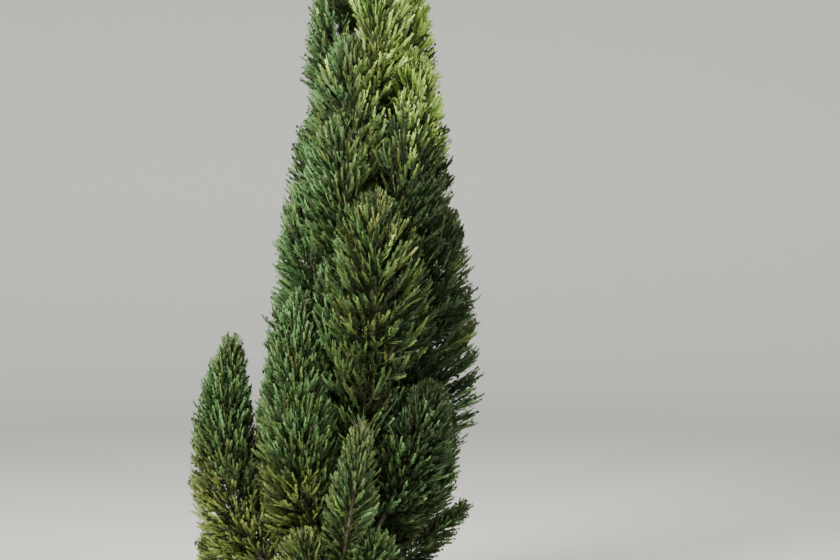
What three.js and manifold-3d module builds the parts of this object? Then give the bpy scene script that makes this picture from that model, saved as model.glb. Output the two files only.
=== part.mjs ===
// Italian cypress, a whole tree: one trunk, nine low boughs that turn up into side spires, a skirt of
// short boughs round the foot, and a column of upswept masses of foliage round the trunk. Millimetres,
// +Z up, origin on the flat cut under the trunk. The tree is seen from the front along +Y, with +X to the
// right.
import * as THREE from "three";
import { mergeVertices } from "three/addons/utils/BufferGeometryUtils.js";
import Module from "manifold-3d";

// Whole tree
const HEIGHT = 4200; // ground to the tip of the top spray
const GROUND_CLEAR = 60; // the lowest that any foliage hangs

// Outline of the column. Above WIDE_HEIGHT its radius is WIDE_RADIUS times a power of the depth under the
// tip, and below it the column draws in to FOOT_SHARE of that radius at the ground.
const WIDE_HEIGHT = 1160;
const WIDE_RADIUS = 473;
const OUTLINE_POWER = 0.75;
const FOOT_SHARE = 0.72;
const RIGHT_BULGE = 0.08; // how far the right side's tips stand out of the outline, as a share of it
const OUTLINE_SHARE = 1.1; // how far the outermost sprays may reach, as a share of the outline
const OUTLINE_PLAY = 0.05; // share either way, from mass to mass

// Trunk
const TRUNK_HEIGHT = 3640;
const TRUNK_RADIUS = 50;
const TRUNK_TIP_RADIUS = 6;
const TRUNK_TAPER_POWER = 0.85;
const TRUNK_LEAN = 115; // how far the trunk has moved to the right at LEAN_HEIGHT
const LEAN_HEIGHT = 1300;
const TRUNK_SWAY = 16; // a slow bend from front to back
const SWAY_LENGTH = 1500;
const FLARE = 30; // what the root flare adds to the radius at the ground
const FLARE_RISE = 105;
const ROOT_LOBES = 5;
const LOBE_DEPTH = 0.22; // share of the radius at the ground
const TRUNK_SIDES = 15;
const TRUNK_STEPS = 15;
const RING_SPACING_POWER = 1.5; // the trunk's rings stand closer together in the flare
const TRUNK_BALLS = 80; // balls that stand for it in the space rule

// Low boughs and the side spire that each one carries. azimuth is the way it leaves the trunk, in degrees
// from +X towards +Y, and twist is how far it swings round by its tip. foot and top are heights, reach is
// how far the tip stands from the trunk, belly is how far the spire bows out, swing and climb are the powers
// of its curve, girth is the radius of its foliage and wood is the bough's radius where it leaves the trunk.
const SPIRES = [
  { name: "left", azimuth: 198, twist: 0, foot: 150, top: 1440, reach: 515,
    belly: 95, swing: 2.2, climb: 1.5, girth: 186, wood: 19 },
  { name: "left_inner", azimuth: 228, twist: 0, foot: 240, top: 1640, reach: 290,
    belly: 52, swing: 2.2, climb: 1.5, girth: 210, wood: 18 },
  { name: "front", azimuth: 262, twist: 23, foot: 190, top: 1080, reach: 358,
    belly: 50, swing: 2.2, climb: 1.4, girth: 130, wood: 14 },
  { name: "right", azimuth: 318, twist: 16, foot: 285, top: 1200, reach: 420,
    belly: 18, swing: 1.5, climb: 1.0, girth: 196, wood: 17 },
  { name: "right_low", azimuth: 336, twist: 10, foot: 150, top: 715, reach: 500,
    belly: 0, swing: 0.85, climb: 0.8, girth: 84, wood: 11 },
  { name: "right_lowest", azimuth: 8, twist: -3, foot: 105, top: 630, reach: 585,
    belly: 0, swing: 1.0, climb: 1.0, girth: 94, wood: 12 },
  { name: "back_right", azimuth: 36, twist: 0, foot: 200, top: 1340, reach: 440,
    belly: 60, swing: 2.0, climb: 1.4, girth: 196, wood: 17 },
  { name: "back", azimuth: 92, twist: 0, foot: 160, top: 1480, reach: 420,
    belly: 80, swing: 2.2, climb: 1.5, girth: 200, wood: 18 },
  { name: "back_left", azimuth: 140, twist: 0, foot: 215, top: 1420, reach: 370,
    belly: 70, swing: 2.2, climb: 1.5, girth: 190, wood: 17 },
];
const BOUGH_END = 0.2; // share of the curve at which the bough ends and the foliage's own stem goes on
const BOUGH_STEPS = 4;
const BOUGH_SIDES = 7;

// Skirt: short boughs close to the ground that hide the tree's foot. The first fans out low on the left.
const SKIRT = { twist: 0, belly: 0, swing: 1.3, wood: 9 };
const SKIRT_LEFT = { azimuth: 190, foot: 165, top: 450, reach: 690, climb: 1.15, girth: 165 };
const SKIRT_ROUND = { foot: 100, top: 560, reach: 400, climb: 1.5, girth: 210 };
const SKIRT_AZIMUTHS = [246, 292, 64, 116];

// Tiers of the column, from the lowest up, and how many boughs spring from the trunk in each
const TIER_COUNTS = [5, 5, 5, 5, 4, 4, 4, 3];
const FIRST_TIER_HEIGHT = 190;
const LAST_TIER_HEIGHT = 3100;
const FIRST_TIER_RISE = 1200; // from where a bough springs to its tip
const LAST_TIER_RISE = 720;
const TIER_TURN = 38; // degrees that each tier is turned from the one under it
const AZIMUTH_PLAY = 7; // degrees either way
const FOOT_PLAY = 50; // either way, less towards the top
const RISE_PLAY = 0.08; // share either way
const TIP_SHARE = 0.76; // how far out the tip of the axis stands, as a share of the outline there
const GIRTH_SHARE = 0.66; // radius of the foliage, as a share of the outline
const TIER_SWING = 1.7;
const TIER_CLIMB = 1.12;
const TIER_WOOD_SHARE = 0.3; // radius of a stem, as a share of the trunk's where it springs
const LEAST_WOOD = 3.5;
const WOOD_TAPER_POWER = 0.8;
const LEAN_IN_STEP = 0.06; // a bough leans in by this share at a time until it clears the side spires
const LEAST_REACH_SHARE = 0.4;
const LEAN_STATIONS = [0.4, 0.6, 0.8, 1]; // where on its curve it has to be clear
const TURN_STEP = 3; // and turns by this many degrees at a time until its stem clears the other limbs
const TURN_LIMIT = 40;
const ROOM_SHARE = 0.15; // the room it wants between its axis and a side spire, as a share of its girth

// Top spire, which goes on from the trunk's tip
const TOP_START_RADIUS = 70;
const TOP_SWELL_HEIGHT = 3780;

// Foliage
const LEAF_START = 0.1; // share of the curve at which the foliage of a tier or the skirt starts
const FOOT_BLUNTNESS = 0.5; // how blunt a mass's foot is: lower is blunter

// Where a mass is fullest, as a share of its length, how far up it stays full, and how blunt its tip is
const SPIRE_FORM = { fullAt: 0.2, tipHold: 2.4, tipBluntness: 0.65 };
const TIER_FORM = { fullAt: 0.4, tipHold: 2.2, tipBluntness: 0.75 };
const CORE_START = 0.05; // where it starts, as a share of the foliage's length
const CORE_END = 0.97; // and ends, as a share of the curve
const RING_CROWDING = 1.3; // its rings crowd towards the tip
const CORE_SHARE = 0.82; // the dense core, as a share of the foliage's radius
const CORE_SAFETY = 0.92; // share of the free room that a core may take
const CORE_RINGS = 7;
const CORE_SIDES = 6;
const STEM_SIDES = 5;
const STEM_STEPS = 2;
const STEM_END = 0.2; // how far the stem runs into the foliage, as a share of it
const SPRAYS_PER_METRE = 14; // of axis, on a mass of REFERENCE_GIRTH
const REFERENCE_GIRTH = 165;
const LEAST_SPRAYS = 9;
const SPRAY_LONGEST = 330;
const SPRAY_SHORTEST = 75;
const SPRAY_WIDTH_SHARE = 0.34; // of its length
const SPRAY_WIDEST = [0.5, 0.6]; // where each edge stands out furthest, as a share of its length
const SPRAY_THICKEST = 0.42;
const SPRAY_THICKNESS_SHARE = 0.12;
const SPRAY_ANGLE_LOW = 40; // degrees between a spray and the stem, low on the mass
const SPRAY_ANGLE_TOP = 18; // and at its tip
const SPRAY_ANGLE_PLAY = 0.15; // share either way
const SPRAY_ANGLE_POWER = 1.5; // how late up the mass the angle closes
const SPRAY_FIRST = 0.1; // where the sprays start, as a share of the foliage's length
const SPRAY_LAST = 0.95; // and end, as a share of the curve
const SPRAY_CROWDING = 0.9; // they stand a little closer together towards the tip
const TIP_SPRAY_SHARE = 0.2; // of the mass's length
const STATIONS = [0.25, 0.5, 0.75]; // where a spray's edges and middle are tested against the space rule
const SPRAY_ROOT_SHARE = 0.32; // how far out from the stem a spray is rooted, as a share of the radius
const GOLDEN_ANGLE = 137.508;

// Clearances
const GAP = 0.4; // between touching pieces
const CORE_GAP = 1.2; // between two cores
const SPACE_GAP = 4; // between the spaces of two masses
const LIMB_GAP = 3; // between a spray and a limb
const MARCH_STEP = 5;
const TANGENT_STEP = 0.01; // of a curve
const CHAIN_POINTS = 25; // balls that stand for one axis in the space rule

const wasm = await Module();
wasm.setup();
const { Manifold, Mesh } = wasm;

const UP = new THREE.Vector3(0, 0, 1);
const radians = THREE.MathUtils.degToRad;
const lerp = THREE.MathUtils.lerp;

// A number from 0 to 1 for the n-th thing of a kind, the same on every run.
const chance = (n, kind) => (0.5 + n * 0.7548776662 + kind * 0.5698402909) % 1;
const play = (n, kind) => 2 * chance(n, kind) - 1;

function outlineRadius(z) {
  const depth = THREE.MathUtils.clamp((HEIGHT - z) / (HEIGHT - WIDE_HEIGHT), 0, 1);
  const foot = lerp(FOOT_SHARE, 1, THREE.MathUtils.smoothstep(z, 0, WIDE_HEIGHT));
  return WIDE_RADIUS * Math.pow(depth, OUTLINE_POWER) * foot;
}

function trunkCentre(z) {
  const x = TRUNK_LEAN * THREE.MathUtils.smoothstep(z, 0, LEAN_HEIGHT);
  return new THREE.Vector3(x, TRUNK_SWAY * Math.sin((Math.PI * z) / SWAY_LENGTH), z);
}

function trunkRadius(z) {
  const left = Math.pow(1 - z / TRUNK_HEIGHT, TRUNK_TAPER_POWER);
  return lerp(TRUNK_TIP_RADIUS, TRUNK_RADIUS, left) + FLARE * Math.exp(-z / FLARE_RISE);
}

const WELD = 1e-4; // corners nearer than this are one

// The solid that manifold-3d makes of a closed geometry.
function solidOf(geometry) {
  geometry.deleteAttribute("normal");
  geometry.deleteAttribute("uv");
  const merged = mergeVertices(geometry, WELD);
  return new Manifold(
    new Mesh({
      numProp: 3,
      vertProperties: merged.attributes.position.array,
      triVerts: new Uint32Array(merged.index.array),
    }),
  );
}

function geometryOf(solid) {
  const mesh = solid.getMesh();
  const geometry = new THREE.BufferGeometry();
  geometry.setAttribute("position", new THREE.BufferAttribute(mesh.vertProperties.slice(), 3));
  geometry.setIndex(new THREE.BufferAttribute(mesh.triVerts.slice(), 1));
  return geometry;
}

// A cylinder whose rings are carried along a path. place(share, angle) gives the point of the skin.
function carriedCylinder(sides, steps, place, middle) {
  const geometry = new THREE.CylinderGeometry(1, 1, 1, sides, steps);
  const position = geometry.attributes.position;
  for (let i = 0; i < position.count; i++) {
    const share = position.getY(i) + 1 / 2; // a height of 1 stands evenly about the origin
    const x = position.getX(i);
    const z = position.getZ(i);
    const onAxis = Math.hypot(x, z) < 1 / 2; // rings have a radius of 1
    const point = onAxis ? middle(share) : place(share, Math.atan2(x, z));
    position.setXYZ(i, point.x, point.y, point.z);
  }
  return solidOf(geometry);
}

// The curve of a bough and the foliage it carries, worked out from its named sizes.
class Bough {
  constructor(sizes) {
    Object.assign(this, sizes);
    this.root = trunkCentre(this.foot);
  }
  height(t) {
    return lerp(this.foot, this.top, Math.pow(t, this.climb));
  }
  out(t) {
    return this.reach * (1 - Math.pow(1 - t, this.swing)) + this.belly * Math.sin(Math.PI * t);
  }
  at(t) {
    const azimuth = radians(this.azimuth + this.twist * t);
    const out = this.out(t);
    const rise = this.height(t) - this.foot;
    return new THREE.Vector3(out * Math.cos(azimuth), out * Math.sin(azimuth), rise).add(this.root);
  }
  // The way along, the way out and the way across at a share of the curve.
  frame(t) {
    const before = this.at(Math.max(t - TANGENT_STEP, 0));
    const along = this.at(Math.min(t + TANGENT_STEP, 1)).sub(before).normalize();
    const azimuth = radians(this.azimuth + this.twist * t);
    const out = new THREE.Vector3(Math.cos(azimuth), Math.sin(azimuth), 0);
    const across = new THREE.Vector3().crossVectors(along, out).normalize();
    return { along, out: new THREE.Vector3().crossVectors(across, along), across };
  }
  fullGirth() {
    return this.girth;
  }
  // The radius of the foliage round the axis.
  spread(t) {
    const share = THREE.MathUtils.clamp((t - this.leafStart) / (1 - this.leafStart), 0, 1);
    const { fullAt, tipHold, tipBluntness } = this.form;
    const risen = Math.pow(Math.min(share / fullAt, 1), FOOT_BLUNTNESS);
    const left = 1 - Math.pow(Math.max(share - fullAt, 0) / (1 - fullAt), tipHold);
    return this.fullGirth(t) * risen * Math.pow(Math.max(left, 0), tipBluntness);
  }
  woodAt(t) {
    return lerp(this.wood, LEAST_WOOD, Math.pow(t, WOOD_TAPER_POWER));
  }
  length() {
    return Math.hypot(this.top - this.foot, this.out(1));
  }
  // Whether a point is inside the outline that holds the mass in.
  holds() {
    return true;
  }
}

// A bough of the column: how far out it stands, and how full it is, go by the outline at each height.
class TierBough extends Bough {
  at(t) {
    const azimuth = radians(this.azimuth);
    const z = this.height(t);
    const out = this.out(t);
    return trunkCentre(z).add(new THREE.Vector3(out * Math.cos(azimuth), out * Math.sin(azimuth), 0));
  }
  out(t) {
    return this.reach * outlineRadius(this.height(t)) * (1 - Math.pow(1 - t, this.swing));
  }
  fullGirth(t) {
    return this.girth * outlineRadius(this.height(t));
  }
  holds(p) {
    const centre = trunkCentre(p.z);
    const out = Math.hypot(p.x - centre.x, p.y - centre.y);
    const right = Math.max((p.x - centre.x) / Math.max(out, 1), 0);
    return out < outlineRadius(p.z) * (this.outlineShare + RIGHT_BULGE * right);
  }
}

// The leading shoot: it goes on from the trunk's tip, and its foliage follows the column's own outline.
class Leader extends Bough {
  at(t) {
    return trunkCentre(lerp(this.foot, this.top, t));
  }
  frame() {
    return { along: UP.clone(), out: new THREE.Vector3(1, 0, 0), across: new THREE.Vector3(0, 1, 0) };
  }
  spread(t) {
    const z = lerp(this.foot, this.top, t);
    const swell = THREE.MathUtils.smoothstep(z, this.foot, TOP_SWELL_HEIGHT);
    return lerp(TOP_START_RADIUS, outlineRadius(z), swell) * (z < this.top ? 1 : 0);
  }
}

// Balls along a path, which stand for it in the space rule.
function chain(count, pointAt, radiusAt) {
  return Array.from({ length: count }, (_, k) => {
    const share = k / (count - 1);
    return { point: pointAt(share), radius: radiusAt(share) };
  });
}

// How far a point lies outside a chain of balls: under 0 is inside.
function outside(balls, p) {
  let least = Infinity;
  for (const { point, radius } of balls) least = Math.min(least, point.distanceTo(p) - radius);
  return least;
}

// How far a point lies from the line of a chain.
function distance(balls, p) {
  let least = Infinity;
  for (const { point } of balls) least = Math.min(least, point.distanceToSquared(p));
  return Math.sqrt(least);
}

function makeSpires() {
  return SPIRES.map(
    (sizes) => new Bough({ ...sizes, form: SPIRE_FORM, leafStart: BOUGH_END, carried: true }),
  );
}

// Leans a bough in until its axis clears the side spires.
function leanIn(bough, spires) {
  const full = bough.reach;
  for (let share = 1; share >= LEAST_REACH_SHARE; share -= LEAN_IN_STEP) {
    bough.reach = full * share;
    const clear = LEAN_STATIONS.every((t) =>
      spires.every((spire) => outside(spire.balls, bough.at(t)) > ROOM_SHARE * bough.fullGirth(t)),
    );
    if (clear) return;
  }
}

// The balls that stand for the wood of a bough, from its foot to a share of its curve.
function woodBalls(bough, end) {
  return chain(CHAIN_POINTS, (k) => bough.at(end * k), (k) => bough.woodAt(end * k));
}

function stemEnd(bough) {
  return lerp(bough.leafStart, 1, STEM_END);
}

// Turns a bough round the trunk until its stem runs clear of the limbs that are already there.
function turnClear(bough, limbs) {
  const wanted = bough.azimuth;
  for (let turn = 0; turn < TURN_LIMIT; turn += TURN_STEP) {
    for (const side of [1, -1]) {
      bough.azimuth = wanted + side * turn;
      const clear = woodBalls(bough, stemEnd(bough)).every(({ point, radius }) => {
        const buried = point.distanceTo(trunkCentre(point.z)) < trunkRadius(point.z);
        return buried || limbs.every((balls) => outside(balls, point) > radius + LIMB_GAP);
      });
      if (clear) return;
    }
  }
}

function makeSkirt(limbs) {
  const places = [SKIRT_LEFT, ...SKIRT_AZIMUTHS.map((azimuth) => ({ ...SKIRT_ROUND, azimuth }))];
  return places.map((place, i) => {
    const kind = { name: `skirt_${i + 1}`, form: SPIRE_FORM, leafStart: LEAF_START, carried: false };
    const bough = new Bough({ ...SKIRT, ...place, ...kind });
    turnClear(bough, limbs);
    limbs.push(woodBalls(bough, stemEnd(bough)));
    return bough;
  });
}

function makeTiers(spires, limbs) {
  const boughs = [];
  TIER_COUNTS.forEach((count, tier) => {
    const up = tier / (TIER_COUNTS.length - 1);
    for (let i = 0; i < count; i++) {
      const n = boughs.length;
      const foot = lerp(FIRST_TIER_HEIGHT, LAST_TIER_HEIGHT, up) + FOOT_PLAY * play(n, 1) * (1 - up);
      const rise = lerp(FIRST_TIER_RISE, LAST_TIER_RISE, up) * (1 + RISE_PLAY * play(n, 2));
      const bough = new TierBough({
        name: `tier_${tier + 1}_${i + 1}`,
        azimuth: 270 + tier * TIER_TURN + (360 * i) / count + AZIMUTH_PLAY * play(n, 3),
        twist: 0,
        foot,
        top: foot + rise,
        reach: TIP_SHARE,
        swing: TIER_SWING,
        climb: TIER_CLIMB,
        girth: GIRTH_SHARE,
        outlineShare: OUTLINE_SHARE + OUTLINE_PLAY * play(n, 4),
        wood: Math.max(TIER_WOOD_SHARE * trunkRadius(foot), LEAST_WOOD),
        form: TIER_FORM,
        leafStart: LEAF_START,
        carried: false,
      });
      leanIn(bough, spires);
      turnClear(bough, limbs);
      limbs.push(woodBalls(bough, stemEnd(bough)));
      boughs.push(bough);
    }
  });
  return boughs;
}

function makeLeader() {
  return new Leader({
    name: "top", azimuth: 0, twist: 0, foot: TRUNK_HEIGHT + GAP, top: HEIGHT, reach: 0, belly: 0,
    swing: 1, climb: 1, girth: outlineRadius(TOP_SWELL_HEIGHT), wood: TRUNK_TIP_RADIUS,
    leafStart: 0, carried: false,
  });
}

function trunkSkin(extra) {
  const place = (share, angle) => {
    const z = TRUNK_HEIGHT * Math.pow(share, RING_SPACING_POWER);
    const lobes = 1 + LOBE_DEPTH * Math.exp(-z / FLARE_RISE) * Math.cos(ROOT_LOBES * angle);
    const r = trunkRadius(z) * lobes + extra;
    return trunkCentre(z).add(new THREE.Vector3(r * Math.cos(angle), r * Math.sin(angle), 0));
  };
  return carriedCylinder(TRUNK_SIDES, TRUNK_STEPS, place, (share) => trunkCentre(share * TRUNK_HEIGHT));
}

// A tapering limb along a bough's curve, between two shares of it. extra is added to its radius.
function limb(bough, from, to, steps, sides, extra = 0) {
  const place = (share, angle) => {
    const t = lerp(from, to, share);
    return bough.at(t).addScaledVector(around(bough.frame(t), angle), bough.woodAt(t) + extra);
  };
  return carriedCylinder(sides, steps, place, (share) => bough.at(lerp(from, to, share)));
}

// The space rule: a point is a mass's own if it lies in that mass's foliage, nearer to its axis than to any
// other, and clear of every limb.
function owns(mass, all, p, gap) {
  if (p.z < GROUND_CLEAR || !mass.holds(p) || outside(mass.balls, p) > 0) return false;
  const own = distance(mass.balls, p);
  for (const other of all.masses) {
    if (other !== mass && distance(other.balls, p) < own + gap) return false;
  }
  for (const limbBalls of all.limbs) {
    if (limbBalls !== mass.stemBalls && outside(limbBalls, p) < LIMB_GAP) return false;
  }
  return true;
}

// How far one can go from a point in a direction before leaving the mass's own space.
function freeRun(mass, all, from, way, most) {
  const p = from.clone();
  for (let run = MARCH_STEP; run <= most; run += MARCH_STEP) {
    if (!owns(mass, all, p.addScaledVector(way, MARCH_STEP), SPACE_GAP)) return run - MARCH_STEP;
  }
  return MARCH_STEP * Math.floor(most / MARCH_STEP);
}

function around(frame, angle) {
  return frame.out.clone().multiplyScalar(Math.cos(angle)).addScaledVector(frame.across, Math.sin(angle));
}

// The dense middle of a mass: a closed skin whose radius each way is a share of the foliage's own, or of
// the free room if that is less. extra is added to it.
function coreSkin(mass, all, extra) {
  const from = lerp(mass.leafStart, 1, CORE_START);
  const along = (share) => lerp(from, CORE_END, 1 - Math.pow(1 - share, RING_CROWDING));
  const place = (share, angle) => {
    const t = along(share);
    const way = around(mass.frame(t), angle);
    const room = freeRun(mass, all, mass.at(t), way, mass.spread(t));
    const r = Math.min(CORE_SHARE * mass.spread(t), CORE_SAFETY * room);
    return mass.at(t).addScaledVector(way, Math.max(r, mass.woodAt(t)) + extra);
  };
  return carriedCylinder(CORE_SIDES, CORE_RINGS, place, (share) => mass.at(along(share)));
}

function clearOf(solid, others) {
  return others.every((other) => solid.intersect(other).isEmpty());
}

// What a mass must keep clear of: every bough, and the pieces of every other mass.
function neighbours(mass, all) {
  const others = all.masses.filter((other) => other !== mass);
  return [...all.boughs, ...others.flatMap((other) => other.pieces)];
}

// The largest body of a solid that its mass's own stem holds. Loose scraps are dropped.
function heldBody(solid, stem) {
  const held = solid.decompose().filter((body) => !body.intersect(stem).isEmpty());
  return held.reduce((best, body) => (body.volume() > best.volume() ? body : best), stem);
}

// The core, cut clear of the limbs that run through it and of the cores made before it.
function coreOf(mass, all) {
  let core = coreSkin(mass, all, 0);
  for (const [owner, grown] of all.grown) {
    if (owner !== mass && !core.intersect(grown).isEmpty()) core = core.subtract(grown);
  }
  all.grown.push([mass, coreSkin(mass, all, CORE_GAP)]);
  return heldBody(core, mass.pieces[0]);
}

// A spray: a thin pointed blade, widest past its middle and thickest along it.
function spray(root, way, flat, length) {
  const width = SPRAY_WIDTH_SHARE * length;
  const thick = SPRAY_THICKNESS_SHARE * length;
  const face = new THREE.Vector3().crossVectors(way, flat);
  const onBlade = (along, aside) =>
    root.clone().addScaledVector(way, along * length).addScaledVector(flat, (aside * width) / 2);
  const rim = [onBlade(0, 0), onBlade(SPRAY_WIDEST[0], -1), onBlade(1, 0), onBlade(SPRAY_WIDEST[1], 1)];
  const thickest = [1, -1].map((side) => {
    return onBlade(SPRAY_THICKEST, 0).addScaledVector(face, (side * thick) / 2);
  });
  const points = [...rim, ...thickest];
  const faces = rim.flatMap((_, i) => {
    const next = (i + 1) % rim.length;
    return [i, next, rim.length, next, i, rim.length + 1];
  });
  const geometry = new THREE.BufferGeometry().setFromPoints(points);
  geometry.setIndex(faces);
  const edges = rim.flatMap((p, i) => STATIONS.map((k) => p.clone().lerp(rim[(i + 1) % rim.length], k)));
  const middle = STATIONS.map((k) => onBlade(k, 0));
  return { solid: solidOf(geometry), stations: [...points, ...edges, ...middle] };
}

// The sprays of one mass, by the golden angle up its stem, each as long as its space allows.
function addSprays(mass, all) {
  const others = neighbours(mass, all);
  const metres = mass.length() / 1000;
  const stoutness = Math.sqrt(mass.fullGirth(0.5) / REFERENCE_GIRTH);
  const wanted = Math.max(LEAST_SPRAYS, Math.round(SPRAYS_PER_METRE * metres * stoutness));
  for (let n = 0; n < wanted; n++) {
    const up = (n + 0.5) / wanted;
    const t = lerp(lerp(mass.leafStart, 1, SPRAY_FIRST), SPRAY_LAST, Math.pow(up, SPRAY_CROWDING));
    const frame = mass.frame(t);
    const side = around(frame, radians(n * GOLDEN_ANGLE + mass.azimuth));
    const opening = lerp(SPRAY_ANGLE_LOW, SPRAY_ANGLE_TOP, Math.pow(up, SPRAY_ANGLE_POWER));
    const angle = radians(opening * (1 + SPRAY_ANGLE_PLAY * play(n, 5)));
    const way = frame.along.clone().multiplyScalar(Math.cos(angle)).addScaledVector(side, Math.sin(angle));
    const root = mass.at(t).addScaledVector(side, SPRAY_ROOT_SHARE * mass.spread(t));
    addSpray(mass, all, others, root, way, side, SPRAY_LONGEST);
  }
  const last = mass.frame(1);
  const length = Math.min(SPRAY_LONGEST, TIP_SPRAY_SHARE * mass.length());
  const root = mass.at(1).addScaledVector(last.along, -length);
  addSpray(mass, all, others, root, last.along, last.out, length);
}

function addSpray(mass, all, others, root, way, side, longest) {
  const length = freeRun(mass, all, root, way, longest);
  if (length < SPRAY_SHORTEST) return;
  const flat = new THREE.Vector3().crossVectors(way, side).normalize();
  const blade = spray(root, way, flat, length);
  if (!blade.stations.every((p) => owns(mass, all, p, SPACE_GAP / 2))) return;
  if (clearOf(blade.solid, others)) mass.pieces.push(blade.solid);
}

// The stem that a mass grows on.
function stemOf(mass, extra) {
  const from = mass.carried ? mass.leafStart + GAP / mass.length() : 0;
  return limb(mass, from, stemEnd(mass), STEM_STEPS, STEM_SIDES, extra);
}

// One mass: its pieces fused into one body, cut clear of the trunk.
function fuse(mass, grownTrunk) {
  return heldBody(Manifold.union(mass.pieces).subtract(grownTrunk), mass.pieces[0]);
}

const BARK = new THREE.MeshStandardMaterial({ color: 0x6b5543, roughness: 0.95, metalness: 0 });
const FOLIAGE = new THREE.MeshStandardMaterial({ color: 0x3f5a2c, roughness: 0.8, metalness: 0 });

function addNode(tree, name, solid, material) {
  const mesh = new THREE.Mesh(geometryOf(solid), material);
  mesh.name = name;
  tree.add(mesh);
}

function makeTree() {
  const tree = new THREE.Group();
  const spires = makeSpires();
  for (const spire of spires) spire.balls = chain(CHAIN_POINTS, (k) => spire.at(k), (k) => spire.spread(k));
  const limbs = spires.map((spire) => woodBalls(spire, 1));
  const skirt = makeSkirt(limbs);
  const tiers = makeTiers(spires, limbs);
  const masses = [...spires, ...skirt, ...tiers, makeLeader()];
  const trunkBalls = chain(
    TRUNK_BALLS,
    (k) => trunkCentre(k * TRUNK_HEIGHT),
    (k) => trunkRadius(k * TRUNK_HEIGHT),
  );
  for (const mass of masses) {
    mass.balls = chain(
      CHAIN_POINTS,
      (k) => mass.at(lerp(mass.leafStart, 1, k)),
      (k) => mass.spread(lerp(mass.leafStart, 1, k)),
    );
    mass.stemBalls = woodBalls(mass, stemEnd(mass));
  }
  const all = { masses, boughs: [], limbs: [trunkBalls, ...masses.map((mass) => mass.stemBalls)] };
  all.grown = masses.map((mass) => [mass, stemOf(mass, GAP)]);
  const trunk = trunkSkin(0);
  const grownTrunk = trunkSkin(GAP);
  addNode(tree, "trunk", trunk, BARK);
  for (const spire of spires) {
    const bough = limb(spire, 0, BOUGH_END, BOUGH_STEPS, BOUGH_SIDES).subtract(grownTrunk);
    all.boughs.push(bough);
    all.grown.push([null, limb(spire, 0, BOUGH_END, BOUGH_STEPS, BOUGH_SIDES, GAP)]);
    addNode(tree, `bough_${spire.name}`, bough, BARK);
  }
  for (const mass of masses) mass.pieces = [stemOf(mass, 0).subtract(grownTrunk)];
  for (const mass of masses) mass.pieces.push(coreOf(mass, all));
  for (const mass of masses) addSprays(mass, all);
  for (const mass of masses) addNode(tree, `foliage_${mass.name}`, fuse(mass, grownTrunk), FOLIAGE);
  return tree;
}

export default makeTree();
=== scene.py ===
"""Italian cypress tree: the bark, stems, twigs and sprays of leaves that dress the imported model.

The crown grows by the same rule as the model's own solids. Every mass of foliage has an axis. A point is
the mass's own if it lies in its foliage, nearer to its axis than to any other, and clear of every limb.
Metres, +Z up, origin on the flat cut under the trunk. The front is seen along +Y, with +X to the right.
"""

import functools
import math
from dataclasses import dataclass

import bpy
import numpy as np
from bpy.props import FloatProperty, FloatVectorProperty, IntProperty, PointerProperty
from bpy.types import Operator, Panel, PropertyGroup
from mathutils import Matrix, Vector


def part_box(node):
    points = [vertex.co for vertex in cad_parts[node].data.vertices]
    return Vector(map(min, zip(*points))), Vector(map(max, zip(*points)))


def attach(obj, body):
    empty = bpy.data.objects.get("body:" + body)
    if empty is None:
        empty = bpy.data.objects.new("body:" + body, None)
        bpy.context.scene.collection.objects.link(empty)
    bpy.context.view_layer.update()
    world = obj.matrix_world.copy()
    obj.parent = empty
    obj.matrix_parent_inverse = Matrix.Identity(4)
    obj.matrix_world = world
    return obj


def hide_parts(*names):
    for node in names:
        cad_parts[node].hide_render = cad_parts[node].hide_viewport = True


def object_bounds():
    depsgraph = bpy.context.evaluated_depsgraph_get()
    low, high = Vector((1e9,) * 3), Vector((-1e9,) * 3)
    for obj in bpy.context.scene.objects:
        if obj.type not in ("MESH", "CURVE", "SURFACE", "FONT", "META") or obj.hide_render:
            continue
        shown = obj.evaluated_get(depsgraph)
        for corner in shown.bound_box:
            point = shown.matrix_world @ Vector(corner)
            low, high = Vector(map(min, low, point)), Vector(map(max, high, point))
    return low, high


bl_info = {
    "name": "Italian cypress",
    "version": (1, 0, 0),
    "blender": (4, 5, 0),
    "location": "3D View > Sidebar > Cypress",
    "description": "Bark, twigs and leaf sprays of a whole cypress tree",
    "category": "Add Mesh",
}

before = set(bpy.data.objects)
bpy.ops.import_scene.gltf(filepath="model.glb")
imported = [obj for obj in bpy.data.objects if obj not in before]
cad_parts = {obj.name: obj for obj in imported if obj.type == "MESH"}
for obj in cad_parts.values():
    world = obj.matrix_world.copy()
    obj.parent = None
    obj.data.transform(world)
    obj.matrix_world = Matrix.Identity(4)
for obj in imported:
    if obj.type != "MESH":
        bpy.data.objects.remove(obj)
CAD_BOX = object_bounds()
BODY = "root"

# Outline of the column and the trunk, beside the sizes in the panel
GROUND_CLEAR = 0.06  # foliage keeps this far above the ground
OUTLINE_POWER = 0.75
FOOT_SHARE = 0.72  # of the widest radius, at the ground
RIGHT_BULGE = 0.08  # how much wider the outline is to the right
OUTLINE_SHARE = 1.1  # of the outline, up to which a mass may reach
OUTLINE_PLAY = 0.05
TRUNK_TIP_RADIUS = 0.006
TRUNK_TAPER_POWER = 0.85
LEAN_HEIGHT = 1.3  # the lean is in full from here up
SWAY_LENGTH = 1.5  # half a wave
FLARE_RISE = 0.105
ROOT_LOBES = 5
LOBE_DEPTH = 0.22
TRUNK_BALLS = 80

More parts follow.
